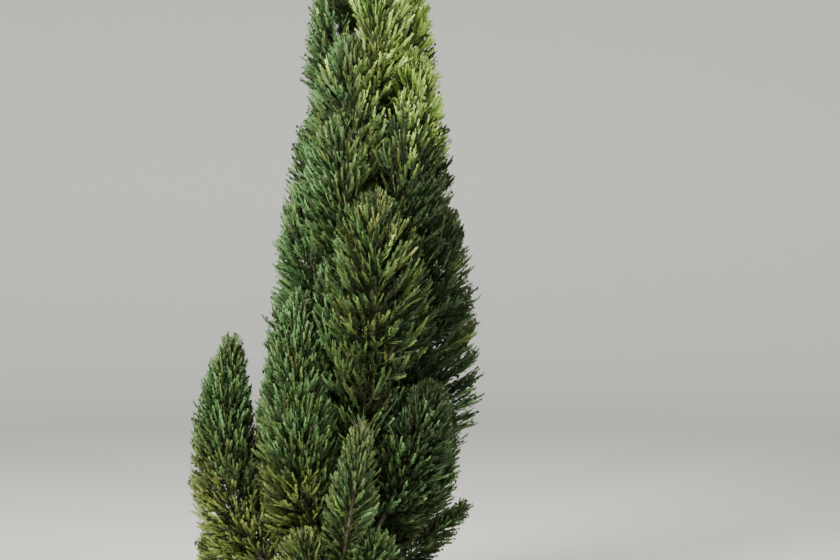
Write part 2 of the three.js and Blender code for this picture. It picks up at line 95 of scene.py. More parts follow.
# Low boughs and the side spire that each one carries: its name, the way it leaves the trunk in degrees from
# +X towards +Y, how far it swings round by its tip, the heights of its foot and top, how far its tip stands
# from the trunk, how far it bows out, the powers of its curve, and the radii of its foliage and its wood.
SPIRES = (
    ("left", 198, 0, 0.150, 1.440, 0.515, 0.095, 2.2, 1.5, 0.186, 0.019),
    ("left_inner", 228, 0, 0.240, 1.640, 0.290, 0.052, 2.2, 1.5, 0.210, 0.018),
    ("front", 262, 23, 0.190, 1.080, 0.358, 0.050, 2.2, 1.4, 0.130, 0.014),
    ("right", 318, 16, 0.285, 1.200, 0.420, 0.018, 1.5, 1.0, 0.196, 0.017),
    ("right_low", 336, 10, 0.150, 0.715, 0.500, 0.0, 0.85, 0.8, 0.084, 0.011),
    ("right_lowest", 8, -3, 0.105, 0.630, 0.585, 0.0, 1.0, 1.0, 0.094, 0.012),
    ("back_right", 36, 0, 0.200, 1.340, 0.440, 0.060, 2.0, 1.4, 0.196, 0.017),
    ("back", 92, 0, 0.160, 1.480, 0.420, 0.080, 2.2, 1.5, 0.200, 0.018),
    ("back_left", 140, 0, 0.215, 1.420, 0.370, 0.070, 2.2, 1.5, 0.190, 0.017),
)
BOUGH_END = 0.2

# Skirt: short boughs close to the ground that hide the tree's foot. The first fans out low on the left.
SKIRT = dict(twist=0, belly=0.0, swing=1.3, wood=0.009)
SKIRT_LEFT = dict(azimuth=190, foot=0.165, top=0.450, reach=0.690, climb=1.15, girth=0.165)
SKIRT_ROUND = dict(foot=0.100, top=0.560, reach=0.400, climb=1.5, girth=0.210)
SKIRT_AZIMUTHS = (246, 292, 64, 116)

# Tiers of the column, from the lowest up, and how many boughs spring from the trunk in each
TIER_COUNTS = (5, 5, 5, 5, 4, 4, 4, 3)
TIER_HEIGHTS = (0.19, 3.1)
TIER_RISES = (1.2, 0.72)  # from a mass's foot to its tip
FRONT_AZIMUTH = 270
TIER_TURN = 38  # degrees from tier to tier
AZIMUTH_PLAY = 7
FOOT_PLAY = 0.05
RISE_PLAY = 0.08
TIP_SHARE = 0.76  # of the outline, where a mass's axis ends
GIRTH_SHARE = 0.66  # of the outline
TIER_SWING = 1.7
TIER_CLIMB = 1.12
TIER_WOOD_SHARE = 0.3
LEAST_WOOD = 0.0035
WOOD_TAPER_POWER = 0.8
LEAN_IN_STEP = 0.06  # how a mass draws in until it clears the side spires
LEAST_REACH_SHARE = 0.4
LEAN_STATIONS = (0.4, 0.6, 0.8, 1)
ROOM_SHARE = 0.15
TURN_STEP = 3  # degrees, in which a bough turns until it clears the limbs
TURN_LIMIT = 40
TOP_START_RADIUS = 0.07
TOP_SWELL_HEIGHT = 3.78  # where the leading shoot fills the outline

# Room of the foliage round its axis
LEAF_START = 0.1
FULL_AT = 0.4  # share of the foliage at which it has its full girth
SPIRE_FULL_AT = 0.2
FOOT_BLUNTNESS = 0.5
TIP_BLUNTNESS = 0.75
SPIRE_TIP_BLUNTNESS = 0.65
TIP_HOLD = 2.2  # power by which the girth holds towards the tip
SPIRE_TIP_HOLD = 2.4
STEM_END = 0.2  # share of the foliage up to which its stem counts as a limb
SPRAY_ANGLES = (40, 18)  # degrees to the stem, from foot to tip
SPRAY_ANGLE_PLAY = 0.15
SPRAY_ANGLE_POWER = 1.5
SPRAY_RANGE = (0.1, 0.95)  # of the foliage, in which sprays grow
SPRAY_CROWDING = 0.9  # power that spaces them
GOLDEN_ANGLE = 137.508
GAP = 0.0004
LIMB_GAP = 0.003
TANGENT_STEP = 0.01
CHAIN_POINTS = 25  # balls in the chain that stands for an axis or a limb
CHANCE_STEP = 0.7548776662  # irrational steps that spread chances evenly: from thing to thing
KIND_STEP = 0.5698402909  # and from kind to kind
TINY = 1e-9

# Finer twigs, which the model's solids leave out
MARCH_STEP = 0.01
FIRST_MARCH = 2  # steps out to the first point that is tested
TWIG_MINGLE = 0.04  # how far a twig may run into the next mass
SWELL = 0.01  # how far twigs and sprigs may stand out of their mass
BOX_INSET = 0.004  # how far the twigs' and sprigs' tips keep inside the model's box
POINTS_AT_ONCE = 6000  # points tested against the space rule at a time
TWIG_OPENING = (1.5, 1.1)  # a twig's angle to its stem at its foot and far out, as a share of the spray's
TWIG_BEND_LENGTH = 0.35  # the run in which it closes from one to the other
SHORTEST_TWIG = 0.05
SHOWN_GAIN = 2.2  # how many more twigs grow on the masses that stand clear of the column
HIGH_GAIN = 1.4  # and on the highest masses of the column
TWIG_LENGTH_PLAY = (0.74, 1.1)
INWARD_SHARE = (0.25, 0.8)  # of the twigs that face the trunk are grown: low in the column, and elsewhere
FACING_RANGE = (-0.5, 0.3)  # cosines to the way out, from facing inwards to facing outwards
SIZE_POINTS = 9  # points along an axis from which a mass's size is taken
LEAST_OUT = 0.001
TIP_TWIG_START = 0.78  # the stem's own end is the last twig, from this share of the curve

# Regions of the crown, each of which is one piece of each kind: its name and the masses in it
REGIONS = {
    "left": ("left", "left_inner"),
    "front": ("front", "right", "right_low", "right_lowest"),
    "back": ("back_right", "back", "back_left"),
    "skirt": ("skirt",),
    "foot": ("tier_1",),
    "hip": ("tier_2",),
    "waist": ("tier_3",),
    "middle": ("tier_4",),
    "shoulder": ("tier_5", "tier_6"),
    "top": ("tier_7", "tier_8", "top"),
}
MOST_TRIANGLES = 200000


def lerp(a, b, share):
    """a plus that share of the way to b."""
    return a + (b - a) * share


def smoothstep(x, low, high):
    """3s^2 - 2s^3, where s is x's share of the way from low to high, which may go down, held in 0 to 1."""
    share = np.clip((x - low) / (high - low), 0, 1)
    return share * share * (3 - 2 * share)


def unit(vectors):
    """Each vector divided by its own length."""
    return vectors / np.maximum(np.linalg.norm(vectors, axis=-1, keepdims=True), TINY)


def play(n, kind):
    """A number from -1 to 1 for the n-th thing of a kind, spread evenly by an irrational step."""
    return 2 * ((0.5 + n * CHANCE_STEP + kind * KIND_STEP) % 1) - 1


@dataclass(frozen=True)
class Column:
    """The tree's driving sizes, and the outline and trunk that follow from them."""

    height: float
    wide_height: float
    wide_radius: float
    trunk_height: float
    trunk_radius: float
    lean: float
    sway: float
    flare: float

    def outline(self, z):
        """Radius: the widest times a power of the depth under the tip, drawn in at the foot."""
        depth = np.clip((self.height - z) / (self.height - self.wide_height), 0, 1)
        foot = lerp(FOOT_SHARE, 1, smoothstep(z, 0, self.wide_height))
        return self.wide_radius * depth**OUTLINE_POWER * foot

    def centre(self, z):
        """The trunk's axis: it leans to the right by a smoothstep and sways back by a sine."""
        x = self.lean * smoothstep(z, 0, LEAN_HEIGHT)
        return np.stack([x, self.sway * np.sin(np.pi * z / SWAY_LENGTH), z + 0 * x], axis=-1)

    def trunk(self, z):
        """The trunk's radius: a power taper from foot to tip, and a flare that dies away upwards."""
        left = np.clip(1 - z / self.trunk_height, 0, 1) ** TRUNK_TAPER_POWER
        return lerp(TRUNK_TIP_RADIUS, self.trunk_radius, left) + self.flare * np.exp(-z / FLARE_RISE)


@dataclass
class Bough:
    """The curve of a low bough and the side spire on it. t runs from 0 at the trunk to 1 at the tip."""

    column: Column
    name: str
    azimuth: float
    twist: float
    foot: float
    top: float
    reach: float
    belly: float
    swing: float
    climb: float
    girth: float
    wood: float
    leaf_start: float = BOUGH_END
    full_at: float = SPIRE_FULL_AT
    tip_hold: float = SPIRE_TIP_HOLD
    tip_bluntness: float = SPIRE_TIP_BLUNTNESS
    outline_share: float = math.inf

    def height(self, t):
        return lerp(self.foot, self.top, t**self.climb)

    def out(self, t):
        return self.reach * (1 - (1 - t) ** self.swing) + self.belly * np.sin(np.pi * t)

    def heading(self, t):
        """The level way out from the trunk."""
        azimuth = np.radians(self.azimuth + self.twist * t)
        return np.stack([np.cos(azimuth), np.sin(azimuth), 0 * azimuth], axis=-1)

    def at(self, t):
        """The axis: out from the foot by the swing curve and up by the climb curve."""
        rise = np.stack([0 * t, 0 * t, self.height(t) - self.foot], axis=-1)
        return self.column.centre(np.float64(self.foot)) + self.out(t)[..., None] * self.heading(t) + rise

    def axes(self, t):
        """The way along, the way out and the way across, from the curve's own slope."""
        along = unit(self.at(np.minimum(t + TANGENT_STEP, 1)) - self.at(np.maximum(t - TANGENT_STEP, 0)))
        across = unit(np.cross(along, self.heading(t)))
        return along, np.cross(across, along), across

    def full_girth(self, t):
        return self.girth + 0 * t

    def spread(self, t):
        """Radius of the foliage: the full girth, rising from the foot and closing at the tip by powers."""
        share = np.clip((t - self.leaf_start) / (1 - self.leaf_start), 0, 1)
        risen = np.minimum(share / self.full_at, 1) ** FOOT_BLUNTNESS
        left = 1 - (np.maximum(share - self.full_at, 0) / (1 - self.full_at)) ** self.tip_hold
        return self.full_girth(t) * risen * np.maximum(left, 0) ** self.tip_bluntness

    def wood_at(self, t):
        return lerp(self.wood, LEAST_WOOD, t**WOOD_TAPER_POWER)

    def stem_end(self):
        return lerp(self.leaf_start, 1, STEM_END)

    def leaf_share(self, share):
        return lerp(self.leaf_start, 1, share)


class TierBough(Bough):
    """A bough of the column, whose reach and girth go by the outline at each height."""

    def at(self, t):
        return self.column.centre(self.height(t)) + self.out(t)[..., None] * self.heading(t)

    def out(self, t):
        return self.reach * self.column.outline(self.height(t)) * (1 - (1 - t) ** self.swing)

    def full_girth(self, t):
        return self.girth * self.column.outline(self.height(t))

    def height_share(self):
        """How high up the trunk it springs."""
        return self.foot / self.column.trunk_height


class Leader(Bough):
    """The leading shoot, which goes straight up from the trunk's tip and fills the outline."""

    def at(self, t):
        return self.column.centre(lerp(self.foot, self.top, t))

    def axes(self, t):
        ones = np.ones_like(t)[..., None]
        return ones * (0, 0, 1), ones * (1, 0, 0), ones * (0, 1, 0)

    def spread(self, t):
        z = lerp(self.foot, self.top, t)
        swell = smoothstep(z, self.foot, TOP_SWELL_HEIGHT)
        return lerp(TOP_START_RADIUS, self.column.outline(z), swell)


def outside(centres, radii, points):
    """How far each point lies outside a chain of balls: the least distance to a centre less its radius."""
    apart = np.linalg.norm(points[:, None] - centres[None], axis=-1)
    return (apart - radii).min(axis=1)


def wood_balls(bough, end):
    """Balls that stand for a bough's wood, from its foot to a share of its curve."""
    t = end * np.linspace(0, 1, CHAIN_POINTS)
    return bough.at(t), bough.wood_at(t)


def lean_in(bough, spires):
    """Draws a bough's reach in by steps until its axis clears the side spires."""
    full = bough.reach
    stations = np.array(LEAN_STATIONS)
    t = np.linspace(0, 1, CHAIN_POINTS)
    share = 1.0
    while share >= LEAST_REACH_SHARE:
        bough.reach = full * share
        room = ROOM_SHARE * bough.full_girth(stations)
        if all((outside(s.at(t), s.spread(t), bough.at(stations)) > room).all() for s in spires):
            return
        share -= LEAN_IN_STEP


def turn_clear(bough, limbs):
    """Turns a bough round the trunk by steps until its stem runs clear of the limbs already there."""
    wanted = bough.azimuth
    for turn in range(0, TURN_LIMIT, TURN_STEP):
        for side in (1, -1):
            bough.azimuth = wanted + side * turn
            points, radii = wood_balls(bough, bough.stem_end())
            z = points[:, 2]
            buried = np.linalg.norm(points - bough.column.centre(z), axis=1) < bough.column.trunk(z)
            clear = [outside(*limb, points) > radii + LIMB_GAP for limb in limbs]
            if (buried | np.all(clear, axis=0)).all():
                return


def make_skirt(column, limbs):
    """The short low boughs, turned clear of the limbs that are already there."""
    boughs = []
    places = [SKIRT_LEFT, *(dict(SKIRT_ROUND, azimuth=azimuth) for azimuth in SKIRT_AZIMUTHS)]
    for i, place in enumerate(places):
        bough = Bough(column, f"skirt_{i + 1}", **SKIRT, **place, leaf_start=LEAF_START)
        turn_clear(bough, limbs)
        limbs.append(wood_balls(bough, bough.stem_end()))
        boughs.append(bough)
    return boughs


def make_tiers(column, spires, limbs):
    """The column's boughs: tier by tier up the trunk, evenly round it, each with a little play."""
    boughs = []
    for tier, count in enumerate(TIER_COUNTS):
        up = tier / (len(TIER_COUNTS) - 1)
        for i in range(count):
            n = len(boughs)
            foot = lerp(*TIER_HEIGHTS, up) + FOOT_PLAY * play(n, 1) * (1 - up)
            rise = lerp(*TIER_RISES, up) * (1 + RISE_PLAY * play(n, 2))
            bough = TierBough(
                column,
                name=f"tier_{tier + 1}_{i + 1}",
                azimuth=FRONT_AZIMUTH + tier * TIER_TURN + 360 * i / count + AZIMUTH_PLAY * play(n, 3),
                twist=0,
                foot=foot,
                top=foot + rise,
                reach=TIP_SHARE,
                belly=0,
                swing=TIER_SWING,
                climb=TIER_CLIMB,
                girth=GIRTH_SHARE,
                wood=max(TIER_WOOD_SHARE * float(column.trunk(foot)), LEAST_WOOD),
                leaf_start=LEAF_START,
                full_at=FULL_AT,
                tip_hold=TIP_HOLD,
                tip_bluntness=TIP_BLUNTNESS,
                outline_share=OUTLINE_SHARE + OUTLINE_PLAY * play(n, 4),
            )
            lean_in(bough, spires)
            turn_clear(bough, limbs)
            limbs.append(wood_balls(bough, bough.stem_end()))
            boughs.append(bough)
    return boughs


def make_leader(column):
    return Leader(
        column, name="top", azimuth=0, twist=0, foot=column.trunk_height + GAP, top=column.height, reach=0,
        belly=0, swing=1, climb=1, girth=float(column.outline(TOP_SWELL_HEIGHT)), wood=TRUNK_TIP_RADIUS,
        leaf_start=0)


class Crown:
    """Every mass of foliage, and the balls along axes and limbs that the space rule tests against."""

    def __init__(self, column):
        self.column = column
        self.spires = [Bough(column, *sizes) for sizes in SPIRES]
        limbs = [wood_balls(spire, 1) for spire in self.spires]
        skirt = make_skirt(column, limbs)
        tiers = make_tiers(column, self.spires, limbs)
        self.masses = [*self.spires, *skirt, *tiers, make_leader(column)]
        share = np.linspace(0, 1, CHAIN_POINTS)
        self.axes = np.stack([m.at(m.leaf_share(share)) for m in self.masses])
        self.spreads = np.stack([m.spread(m.leaf_share(share)) for m in self.masses])
        stems = [wood_balls(m, m.stem_end()) for m in self.masses]
        self.stems = np.stack([points for points, _ in stems])
        self.stem_radii = np.stack([radii for _, radii in stems])
        z = column.trunk_height * np.linspace(0, 1, TRUNK_BALLS)
        self.trunk = column.centre(z)
        self.trunk_radii = column.trunk(z)
        self.outline_shares = np.array([m.outline_share for m in self.masses])

    def owns(self, owner, points, gap):
        """Whether each point is its owner's own, by the space rule. A gap under 0 lets masses mingle."""
        parts = [
            self._owns(owner[i : i + POINTS_AT_ONCE], points[i : i + POINTS_AT_ONCE], gap)
            for i in range(0, len(points), POINTS_AT_ONCE)
        ]
        return np.concatenate(parts)

    def _owns(self, owner, points, gap):
        row = np.arange(len(points))
        centre = self.column.centre(points[:, 2])
        aside = points[:, :2] - centre[:, :2]
        out = np.hypot(aside[:, 0], aside[:, 1])
        right = np.maximum(aside[:, 0] / np.maximum(out, LEAST_OUT), 0)
        shares = self.outline_shares[owner]
        held = out < self.column.outline(points[:, 2]) * (shares + RIGHT_BULGE * right)
        held |= np.isinf(shares)
        held &= points[:, 2] >= GROUND_CLEAR
        low, high = np.array(CAD_BOX)
        held &= ((points > low + BOX_INSET) & (points < high - BOX_INSET)).all(axis=1)
        apart = self._apart(points, self.axes)
        inside = (apart[row, owner] - self.spreads[owner]).min(axis=1) <= SWELL
        nearest = apart.min(axis=2)
        own = nearest[row, owner]
        nearest[row, owner] = np.inf
        nearer = own + gap <= nearest.min(axis=1)
        limbs = (self._apart(points, self.stems) - self.stem_radii).min(axis=2)
        limbs[row, owner] = np.inf
        trunk = outside(self.trunk, self.trunk_radii, points)
        clear = (limbs.min(axis=1) >= LIMB_GAP) & (trunk >= LIMB_GAP)
        return held & inside & nearer & clear

    @staticmethod
    def _apart(points, chains):
        """Distance from each point to each ball's centre, by |p|^2 - 2 p.c + |c|^2."""
        centres = chains.reshape(-1, 3)
        squared = (points**2).sum(axis=1)[:, None] - 2 * points @ centres.T + (centres**2).sum(axis=1)
        return np.sqrt(np.maximum(squared, 0)).reshape(len(points), *chains.shape[:2])


class Rows:
    """Arrays of one length, held as fields."""

    def pick(self, chosen):
        return type(self)(*(getattr(self, name)[chosen] for name in self.__dataclass_fields__))


@dataclass
class Twigs(Rows):
    """Twigs as arrays: each bends from its first way to its last over TWIG_BEND_LENGTH."""

    owner: np.ndarray
    base: np.ndarray
    first: np.ndarray
    last: np.ndarray
    length: np.ndarray

    def at(self, run):
        """base + r first + r^2 / 2R (last - first), at a run r along each twig."""
        bend = self.last - self.first
        return self.base + run[:, None] * self.first + (run**2 / (2 * TWIG_BEND_LENGTH))[:, None] * bend

    def way(self, run):
        """The slope of the same curve."""
        return unit(self.first + (run / TWIG_BEND_LENGTH)[:, None] * (self.last - self.first))


def candidate_twigs(crown, total, rng):
    """Twigs by the golden angle up each stem, as many on a mass as its share of the foliage's surface."""
    sizes = np.array([
        np.ptp(m.at(np.linspace(0, 1, SIZE_POINTS)), axis=0).max()
        * (1 + HIGH_GAIN * m.height_share() if isinstance(m, TierBough) else SHOWN_GAIN)
        for m in crown.masses
    ])
    found = []
    for k, mass in enumerate(crown.masses):
        wanted = int(total * sizes[k] / sizes.sum())
        n = np.arange(wanted)
        up = (n + 0.5) / wanted
        t = lerp(mass.leaf_share(SPRAY_RANGE[0]), SPRAY_RANGE[1], up**SPRAY_CROWDING)
        along, out, across = mass.axes(t)
        turn = np.radians(n * GOLDEN_ANGLE + mass.azimuth)[:, None]
        side = out * np.cos(turn) + across * np.sin(turn)
        angle = lerp(*SPRAY_ANGLES, up**SPRAY_ANGLE_POWER)
        angle = np.radians(angle * (1 + SPRAY_ANGLE_PLAY * play(n, 5)))[:, None]
        ways = [along * np.cos(angle * share) + side * np.sin(angle * share) for share in TWIG_OPENING]
        facing = (side * mass.heading(t)).sum(axis=1)
        least = lerp(*INWARD_SHARE, mass.height_share() if isinstance(mass, TierBough) else 1)
        grown = rng.random(wanted) < lerp(least, 1, smoothstep(facing, *FACING_RANGE))
        if isinstance(mass, Leader):
            grown[:] = True
        found.append([np.full(wanted, k)[grown], mass.at(t)[grown], ways[0][grown], ways[1][grown]])
        tip = np.array([TIP_TWIG_START])
        found.append([np.array([k]), mass.at(tip), mass.axes(tip)[0], mass.axes(np.ones(1))[0]])
    owner, base, first, last = (np.concatenate(rows) for rows in zip(*found))
    return Twigs(owner, base, first, last, np.zeros(len(owner)))


def grow_twigs(crown, total, longest, rng):
    """Each candidate marches out by steps until it leaves its own space, and is kept if long enough."""
    twigs = candidate_twigs(crown, total, rng)
    runs = MARCH_STEP * np.arange(FIRST_MARCH, int(round(longest / MARCH_STEP)) + 1)
    points = np.stack([twigs.at(np.full(len(twigs.owner), run)) for run in runs], axis=1)
    owned = crown.owns(np.repeat(twigs.owner, len(runs)), points.reshape(-1, 3), -TWIG_MINGLE)
    going = np.cumprod(owned.reshape(-1, len(runs)), axis=1).sum(axis=1)
    steps = going + (FIRST_MARCH - 1) * (going > 0)
    twigs.length = MARCH_STEP * steps * rng.uniform(*TWIG_LENGTH_PLAY, len(going))
    return twigs.pick(twigs.length >= SHORTEST_TWIG)


# Sprigs on the twigs
SPRIG_OPENING = (7, 25)  # degrees between a sprig and its twig
SPRIG_LEVEL = 0.8  # how far sprigs keep to the level way across their twig
SPRIG_LIFT = 0.07  # how far sprigs turn up
SPRIG_TAPER_RUN = 0.14  # the run from the twig's tip in which they grow to full length
SPRIG_TIP_SHARE = 0.55  # of full length, at the twig's tip
SPRIG_PLAY = 0.18
END_SPRIG_PLAY = (0.9, 1.25)
SPRIG_SCATTER = 0.5  # how far sprigs and their fans turn by chance
STEP_PLAY = (0.1, 0.9)  # where in its step each sprig stands
LIVE_END = 0.97  # share of a twig at which its side sprigs end
MINGLE = 0.06  # how far a sprig may reach into the next mass
SHORT_SHARE = 0.7  # of its length that a sprig with too little room is cut back to
BARE_SHARE = 0.3  # the foot of a twig that carries only old sprigs
OLD_SPRIG_SPACING = 0.05
OLD_SPRIG_RANGE = (0.05, 0.7)  # of a twig's length

# Dark hollows between the masses, where most sprigs have fallen: x, y, z and radius
HOLLOWS = ((0.14, -0.39, 1.17, 0.16), (0.03, -0.41, 0.61, 0.09), (0.16, -0.33, 2.54, 0.07),
           (0.21, -0.39, 1.64, 0.08), (0.25, -0.41, 1.37, 0.07), (-0.41, -0.20, 0.99, 0.08),
           (-0.02, -0.38, 1.06, 0.07), (0.20, -0.41, 0.81, 0.07))
HOLLOW_SHARE = 0.92


@dataclass
class Sprigs(Rows):
    """Sprigs as arrays: where each is rooted, its way, the normal of its fan, its length and its place."""

    owner: np.ndarray
    root: np.ndarray
    way: np.ndarray
    normal: np.ndarray
    length: np.ndarray
    share: np.ndarray
    twig: np.ndarray

    def tips(self):
        return self.root + self.length[:, None] * self.way


def sprigs_along(crown, twigs, start, stop, spacing, longest, rng):
    """Sprigs by the golden angle round each twig, at even steps back from stop to start of its length."""
    run = twigs.length * (stop - start)
    counts = np.maximum((run / spacing).astype(int), 1)
    twig = np.repeat(np.arange(len(counts)), counts)
    step = np.arange(counts.sum()) - np.repeat(np.cumsum(counts) - counts, counts)
    back = (step + rng.uniform(*STEP_PLAY, len(step))) * spacing
    at = np.maximum(twigs.length[twig] * stop - back, 0)
    grown = twigs.pick(twig)
    along = grown.way(at)
    level = (0, 0, SPRIG_LEVEL) * rng.choice((-1.0, 1.0), (len(step), 1))
    aside = unit(np.cross(along, level + SPRIG_SCATTER * rng.normal(size=along.shape)))
    opening = np.radians(rng.uniform(*SPRIG_OPENING, len(step)))[:, None]
    way = unit(along * np.cos(opening) + aside * np.sin(opening) + (0, 0, SPRIG_LIFT))
    from_tip = twigs.length[twig] - at
    full = lerp(SPRIG_TIP_SHARE, 1, smoothstep(from_tip, 0, SPRIG_TAPER_RUN))
    length = longest * full * (1 + SPRIG_PLAY * rng.uniform(-1, 1, len(step)))
    normal = unit(np.cross(way, np.cross(along, way)) + SPRIG_SCATTER * rng.normal(size=way.shape))
    normal = unit(np.cross(np.cross(way, normal), way))
    sprigs = Sprigs(grown.owner, grown.at(at), way, normal, length, at / twigs.length[twig], twig)
    fits = crown.owns(sprigs.owner, sprigs.tips(), -MINGLE)
    sprigs.length[~fits] *= SHORT_SHARE
    fits[~fits] = crown.owns(sprigs.owner[~fits], sprigs.tips()[~fits], -MINGLE)
    return sprigs.pick(fits)


def end_sprigs(twigs, longest, rng):
    """The sprig at the end of each twig, which goes straight on and ends where the twig's room does."""
    full = longest * SPRIG_TIP_SHARE * rng.uniform(*END_SPRIG_PLAY, len(twigs.length))
    length = np.minimum(full, twigs.length)
    at = twigs.length - length
    way = twigs.way(at)
    normal = unit(np.cross(way, rng.normal(size=way.shape)))
    row = np.arange(len(length))
    return Sprigs(twigs.owner, twigs.at(at), way, normal, length, np.ones(len(length)), row)


def joined(*groups):
    names = Sprigs.__dataclass_fields__
    return Sprigs(*(np.concatenate([getattr(group, name) for group in groups]) for name in names))


def kept_sprigs(sprigs, rng):
    """Sprigs with their tips in a hollow fall away by chance."""
    hollows = np.array(HOLLOWS)
    apart = np.linalg.norm(sprigs.tips()[:, None] - hollows[None, :, :3], axis=-1)
    hollow = (apart < hollows[:, 3]).any(axis=1)
    return sprigs.pick(~hollow | (rng.random(len(hollow)) > HOLLOW_SHARE))


@functools.cache
def grown(column, total, twig_reach, spacing, longest, seed):
    """The crown with its twigs, its live sprigs and its old inner sprigs."""
    rng = np.random.default_rng(seed)
    crown = Crown(column)
    twigs = grow_twigs(crown, total, twig_reach, rng)
    live = sprigs_along(crown, twigs, BARE_SHARE, LIVE_END, spacing, longest, rng)
    ends = end_sprigs(twigs, longest, rng)
    old = sprigs_along(crown, twigs, *OLD_SPRIG_RANGE, OLD_SPRIG_SPACING, longest, rng)
    return crown, twigs, kept_sprigs(joined(live, ends), rng), old


def masses_in(crown, region):
    """Numbers of the masses in a region, which names them or the start of their names."""
    names = REGIONS[region]
    return [k for k, mass in enumerate(crown.masses)
            if mass.name in names or mass.name.rsplit("_", 1)[0] in names]


def put_mesh(name, points, faces, uv=None, slots=None, attributes=None):
    """A mesh object of points and triangles, with what is given of a UV map, slots and attributes."""
    mesh = bpy.data.meshes.new(name)
    mesh.vertices.add(len(points))
    mesh.vertices.foreach_set("co", points.astype(np.float32).ravel())
    mesh.loops.add(faces.size)
    mesh.loops.foreach_set("vertex_index", faces.astype(np.int32).ravel())
    mesh.polygons.add(len(faces))
    mesh.polygons.foreach_set("loop_start", np.arange(0, faces.size, 3, dtype=np.int32))
    if slots is not None:
        mesh.polygons.foreach_set("material_index", slots.astype(np.int32))
    for key, values in (attributes or {}).items():
        mesh.attributes.new(key, "FLOAT", "POINT").data.foreach_set("value", values.astype(np.float32))
    if uv is not None:
        layer = mesh.uv_layers.new(name="UVMap")
        layer.data.foreach_set("uv", uv[faces.ravel()].astype(np.float32).ravel())
    mesh.update(calc_edges=True)
    mesh.validate()
    made = bpy.data.objects.new(name, mesh)
    bpy.context.scene.collection.objects.link(made)
    if len(faces) > MOST_TRIANGLES:
        raise RuntimeError(f"{name} has {len(faces)} triangles, over {MOST_TRIANGLES}")
    return made


def dress(made, materials, nodes):
    """Gives a piece its materials and its body, and hides the nodes that it stands for."""
    for material in materials:
        made.data.materials.append(material)
    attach(made, BODY)
    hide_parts(*nodes)


def tubes(path, out, across, radius):
    """Closed tubes: a ring of points round each station of each path, with a pole at either end.

    path is tubes x stations x 3, out and across are the ring's axes there, and radius is tubes x stations x
    sides. A ring's point at angle a is path + radius (out cos a + across sin a). Also gives a UV map, with
    the share round and the run along.
    """
    count, stations, sides = radius.shape
    angle = 2 * np.pi * np.arange(sides) / sides
    ring = out[:, :, None] * np.cos(angle)[:, None] + across[:, :, None] * np.sin(angle)[:, None]
    skin = path[:, :, None] + radius[..., None] * ring
    points = np.concatenate([skin.reshape(count, -1, 3), path[:, :1], path[:, -1:]], axis=1)
    here = np.arange(sides)
    after = (here + 1) % sides
    rows = sides * np.arange(stations - 1)[:, None]
    a, b, c, d = rows + here, rows + after, rows + sides + after, rows + sides + here
    walls = np.stack([np.stack([a, b, c], axis=-1), np.stack([a, c, d], axis=-1)]).reshape(-1, 3)
    foot = stations * sides
    last = sides * (stations - 1)
    ends = [np.stack([0 * here + foot, after, here], axis=-1),
            np.stack([0 * here + foot + 1, last + here, last + after], axis=-1)]
    faces = np.concatenate([walls, *ends])
    faces = (faces + (foot + 2) * np.arange(count)[:, None, None]).reshape(-1, 3)
    run = np.concatenate([np.zeros((count, 1)),
                          np.cumsum(np.linalg.norm(np.diff(path, axis=1), axis=2), axis=1)], axis=1)
    u = np.broadcast_to(here / sides, (count, stations, sides)).reshape(count, -1)
    v = np.broadcast_to(run[:, :, None], (count, stations, sides)).reshape(count, -1)
    u = np.concatenate([u, np.full((count, 2), 0.5)], axis=1)
    v = np.concatenate([v, run[:, :1], run[:, -1:]], axis=1)
    return points.reshape(-1, 3), faces, np.stack([u.ravel(), v.ravel()], axis=-1)


def level_axes(path):
    """Level axes for the rings of tubes that go up: +X and +Y at every station."""
    return np.broadcast_to((1.0, 0, 0), path.shape), np.broadcast_to((0, 1.0, 0), path.shape)


# Relief of the bark
TRUNK_RINGS = 300
TRUNK_SIDES = 56
BOUGH_RINGS = 40
BOUGH_SIDES = 28
STEM_RINGS = 20
STEM_SIDES = 8
STEM_SKIN_END = 0.97
TRUNK_RING_POWER = 1.2  # crowds the trunk's rings into the flare
RELIEF_RANGE = (0.15, 1.2)  # of the relief's depth, from the thinnest to the stoutest part of the trunk
BOUGH_RELIEF = 0.4  # depth on the boughs and on the stems, as a share of the trunk's
STEM_RELIEF = 0.2
RIDGE_PITCH = 0.021  # between the fibrous ridges, round the limb
RIDGE_SPIRAL = 1.1  # radians that they turn in a metre
RIDGE_SHARPNESS = 0.7
RIDGE_WANDER = 0.8
WANDER_WAVES = ((9, 2, 0, 1), (23, -3, 1, 0.6))  # radians a metre, turns round the limb, start, height
FINE_WAVE = (31, 1.7)  # radians in a metre, and height
FINE_DEPTH = 0.35
LEAST_RIDGES = 3
CRACK_WAVE = (47, 5)  # radians in a metre, and how far the cracks slant round the limb
CRACK_DEPTH = 0.25


def bark_relief(angle, run, radius, depth):
    """Height of the bark: fibrous ridges that run up the limb in a slow spiral, wander and crack.

    Each ridge is |sin| of an angle that counts the ridges round the limb, turned by the spiral and by slow
    sines of the run. A second, finer set fills the furrows, and a sine of the run breaks the ridges.
    """
    ridges = np.maximum(np.round(2 * np.pi * np.mean(radius) / RIDGE_PITCH / 2), LEAST_RIDGES)
    turned = angle + RIDGE_SPIRAL * run
    waves = [height * np.sin(by_run * run + turns * angle + start)
             for by_run, turns, start, height in WANDER_WAVES]
    wander = RIDGE_WANDER * sum(waves) / ridges
    coarse = 1 - np.abs(np.sin(ridges * (turned + wander))) ** RIDGE_SHARPNESS
    fine = np.abs(np.sin(2 * ridges * turned + FINE_WAVE[1] * np.sin(FINE_WAVE[0] * run + angle)))
    cracks = np.sin(CRACK_WAVE[0] * run + CRACK_WAVE[1] * np.sin(2 * angle))
    broken = 1 - CRACK_DEPTH + CRACK_DEPTH * cracks
    return -depth * (coarse * broken + FINE_DEPTH * fine * (1 - coarse))


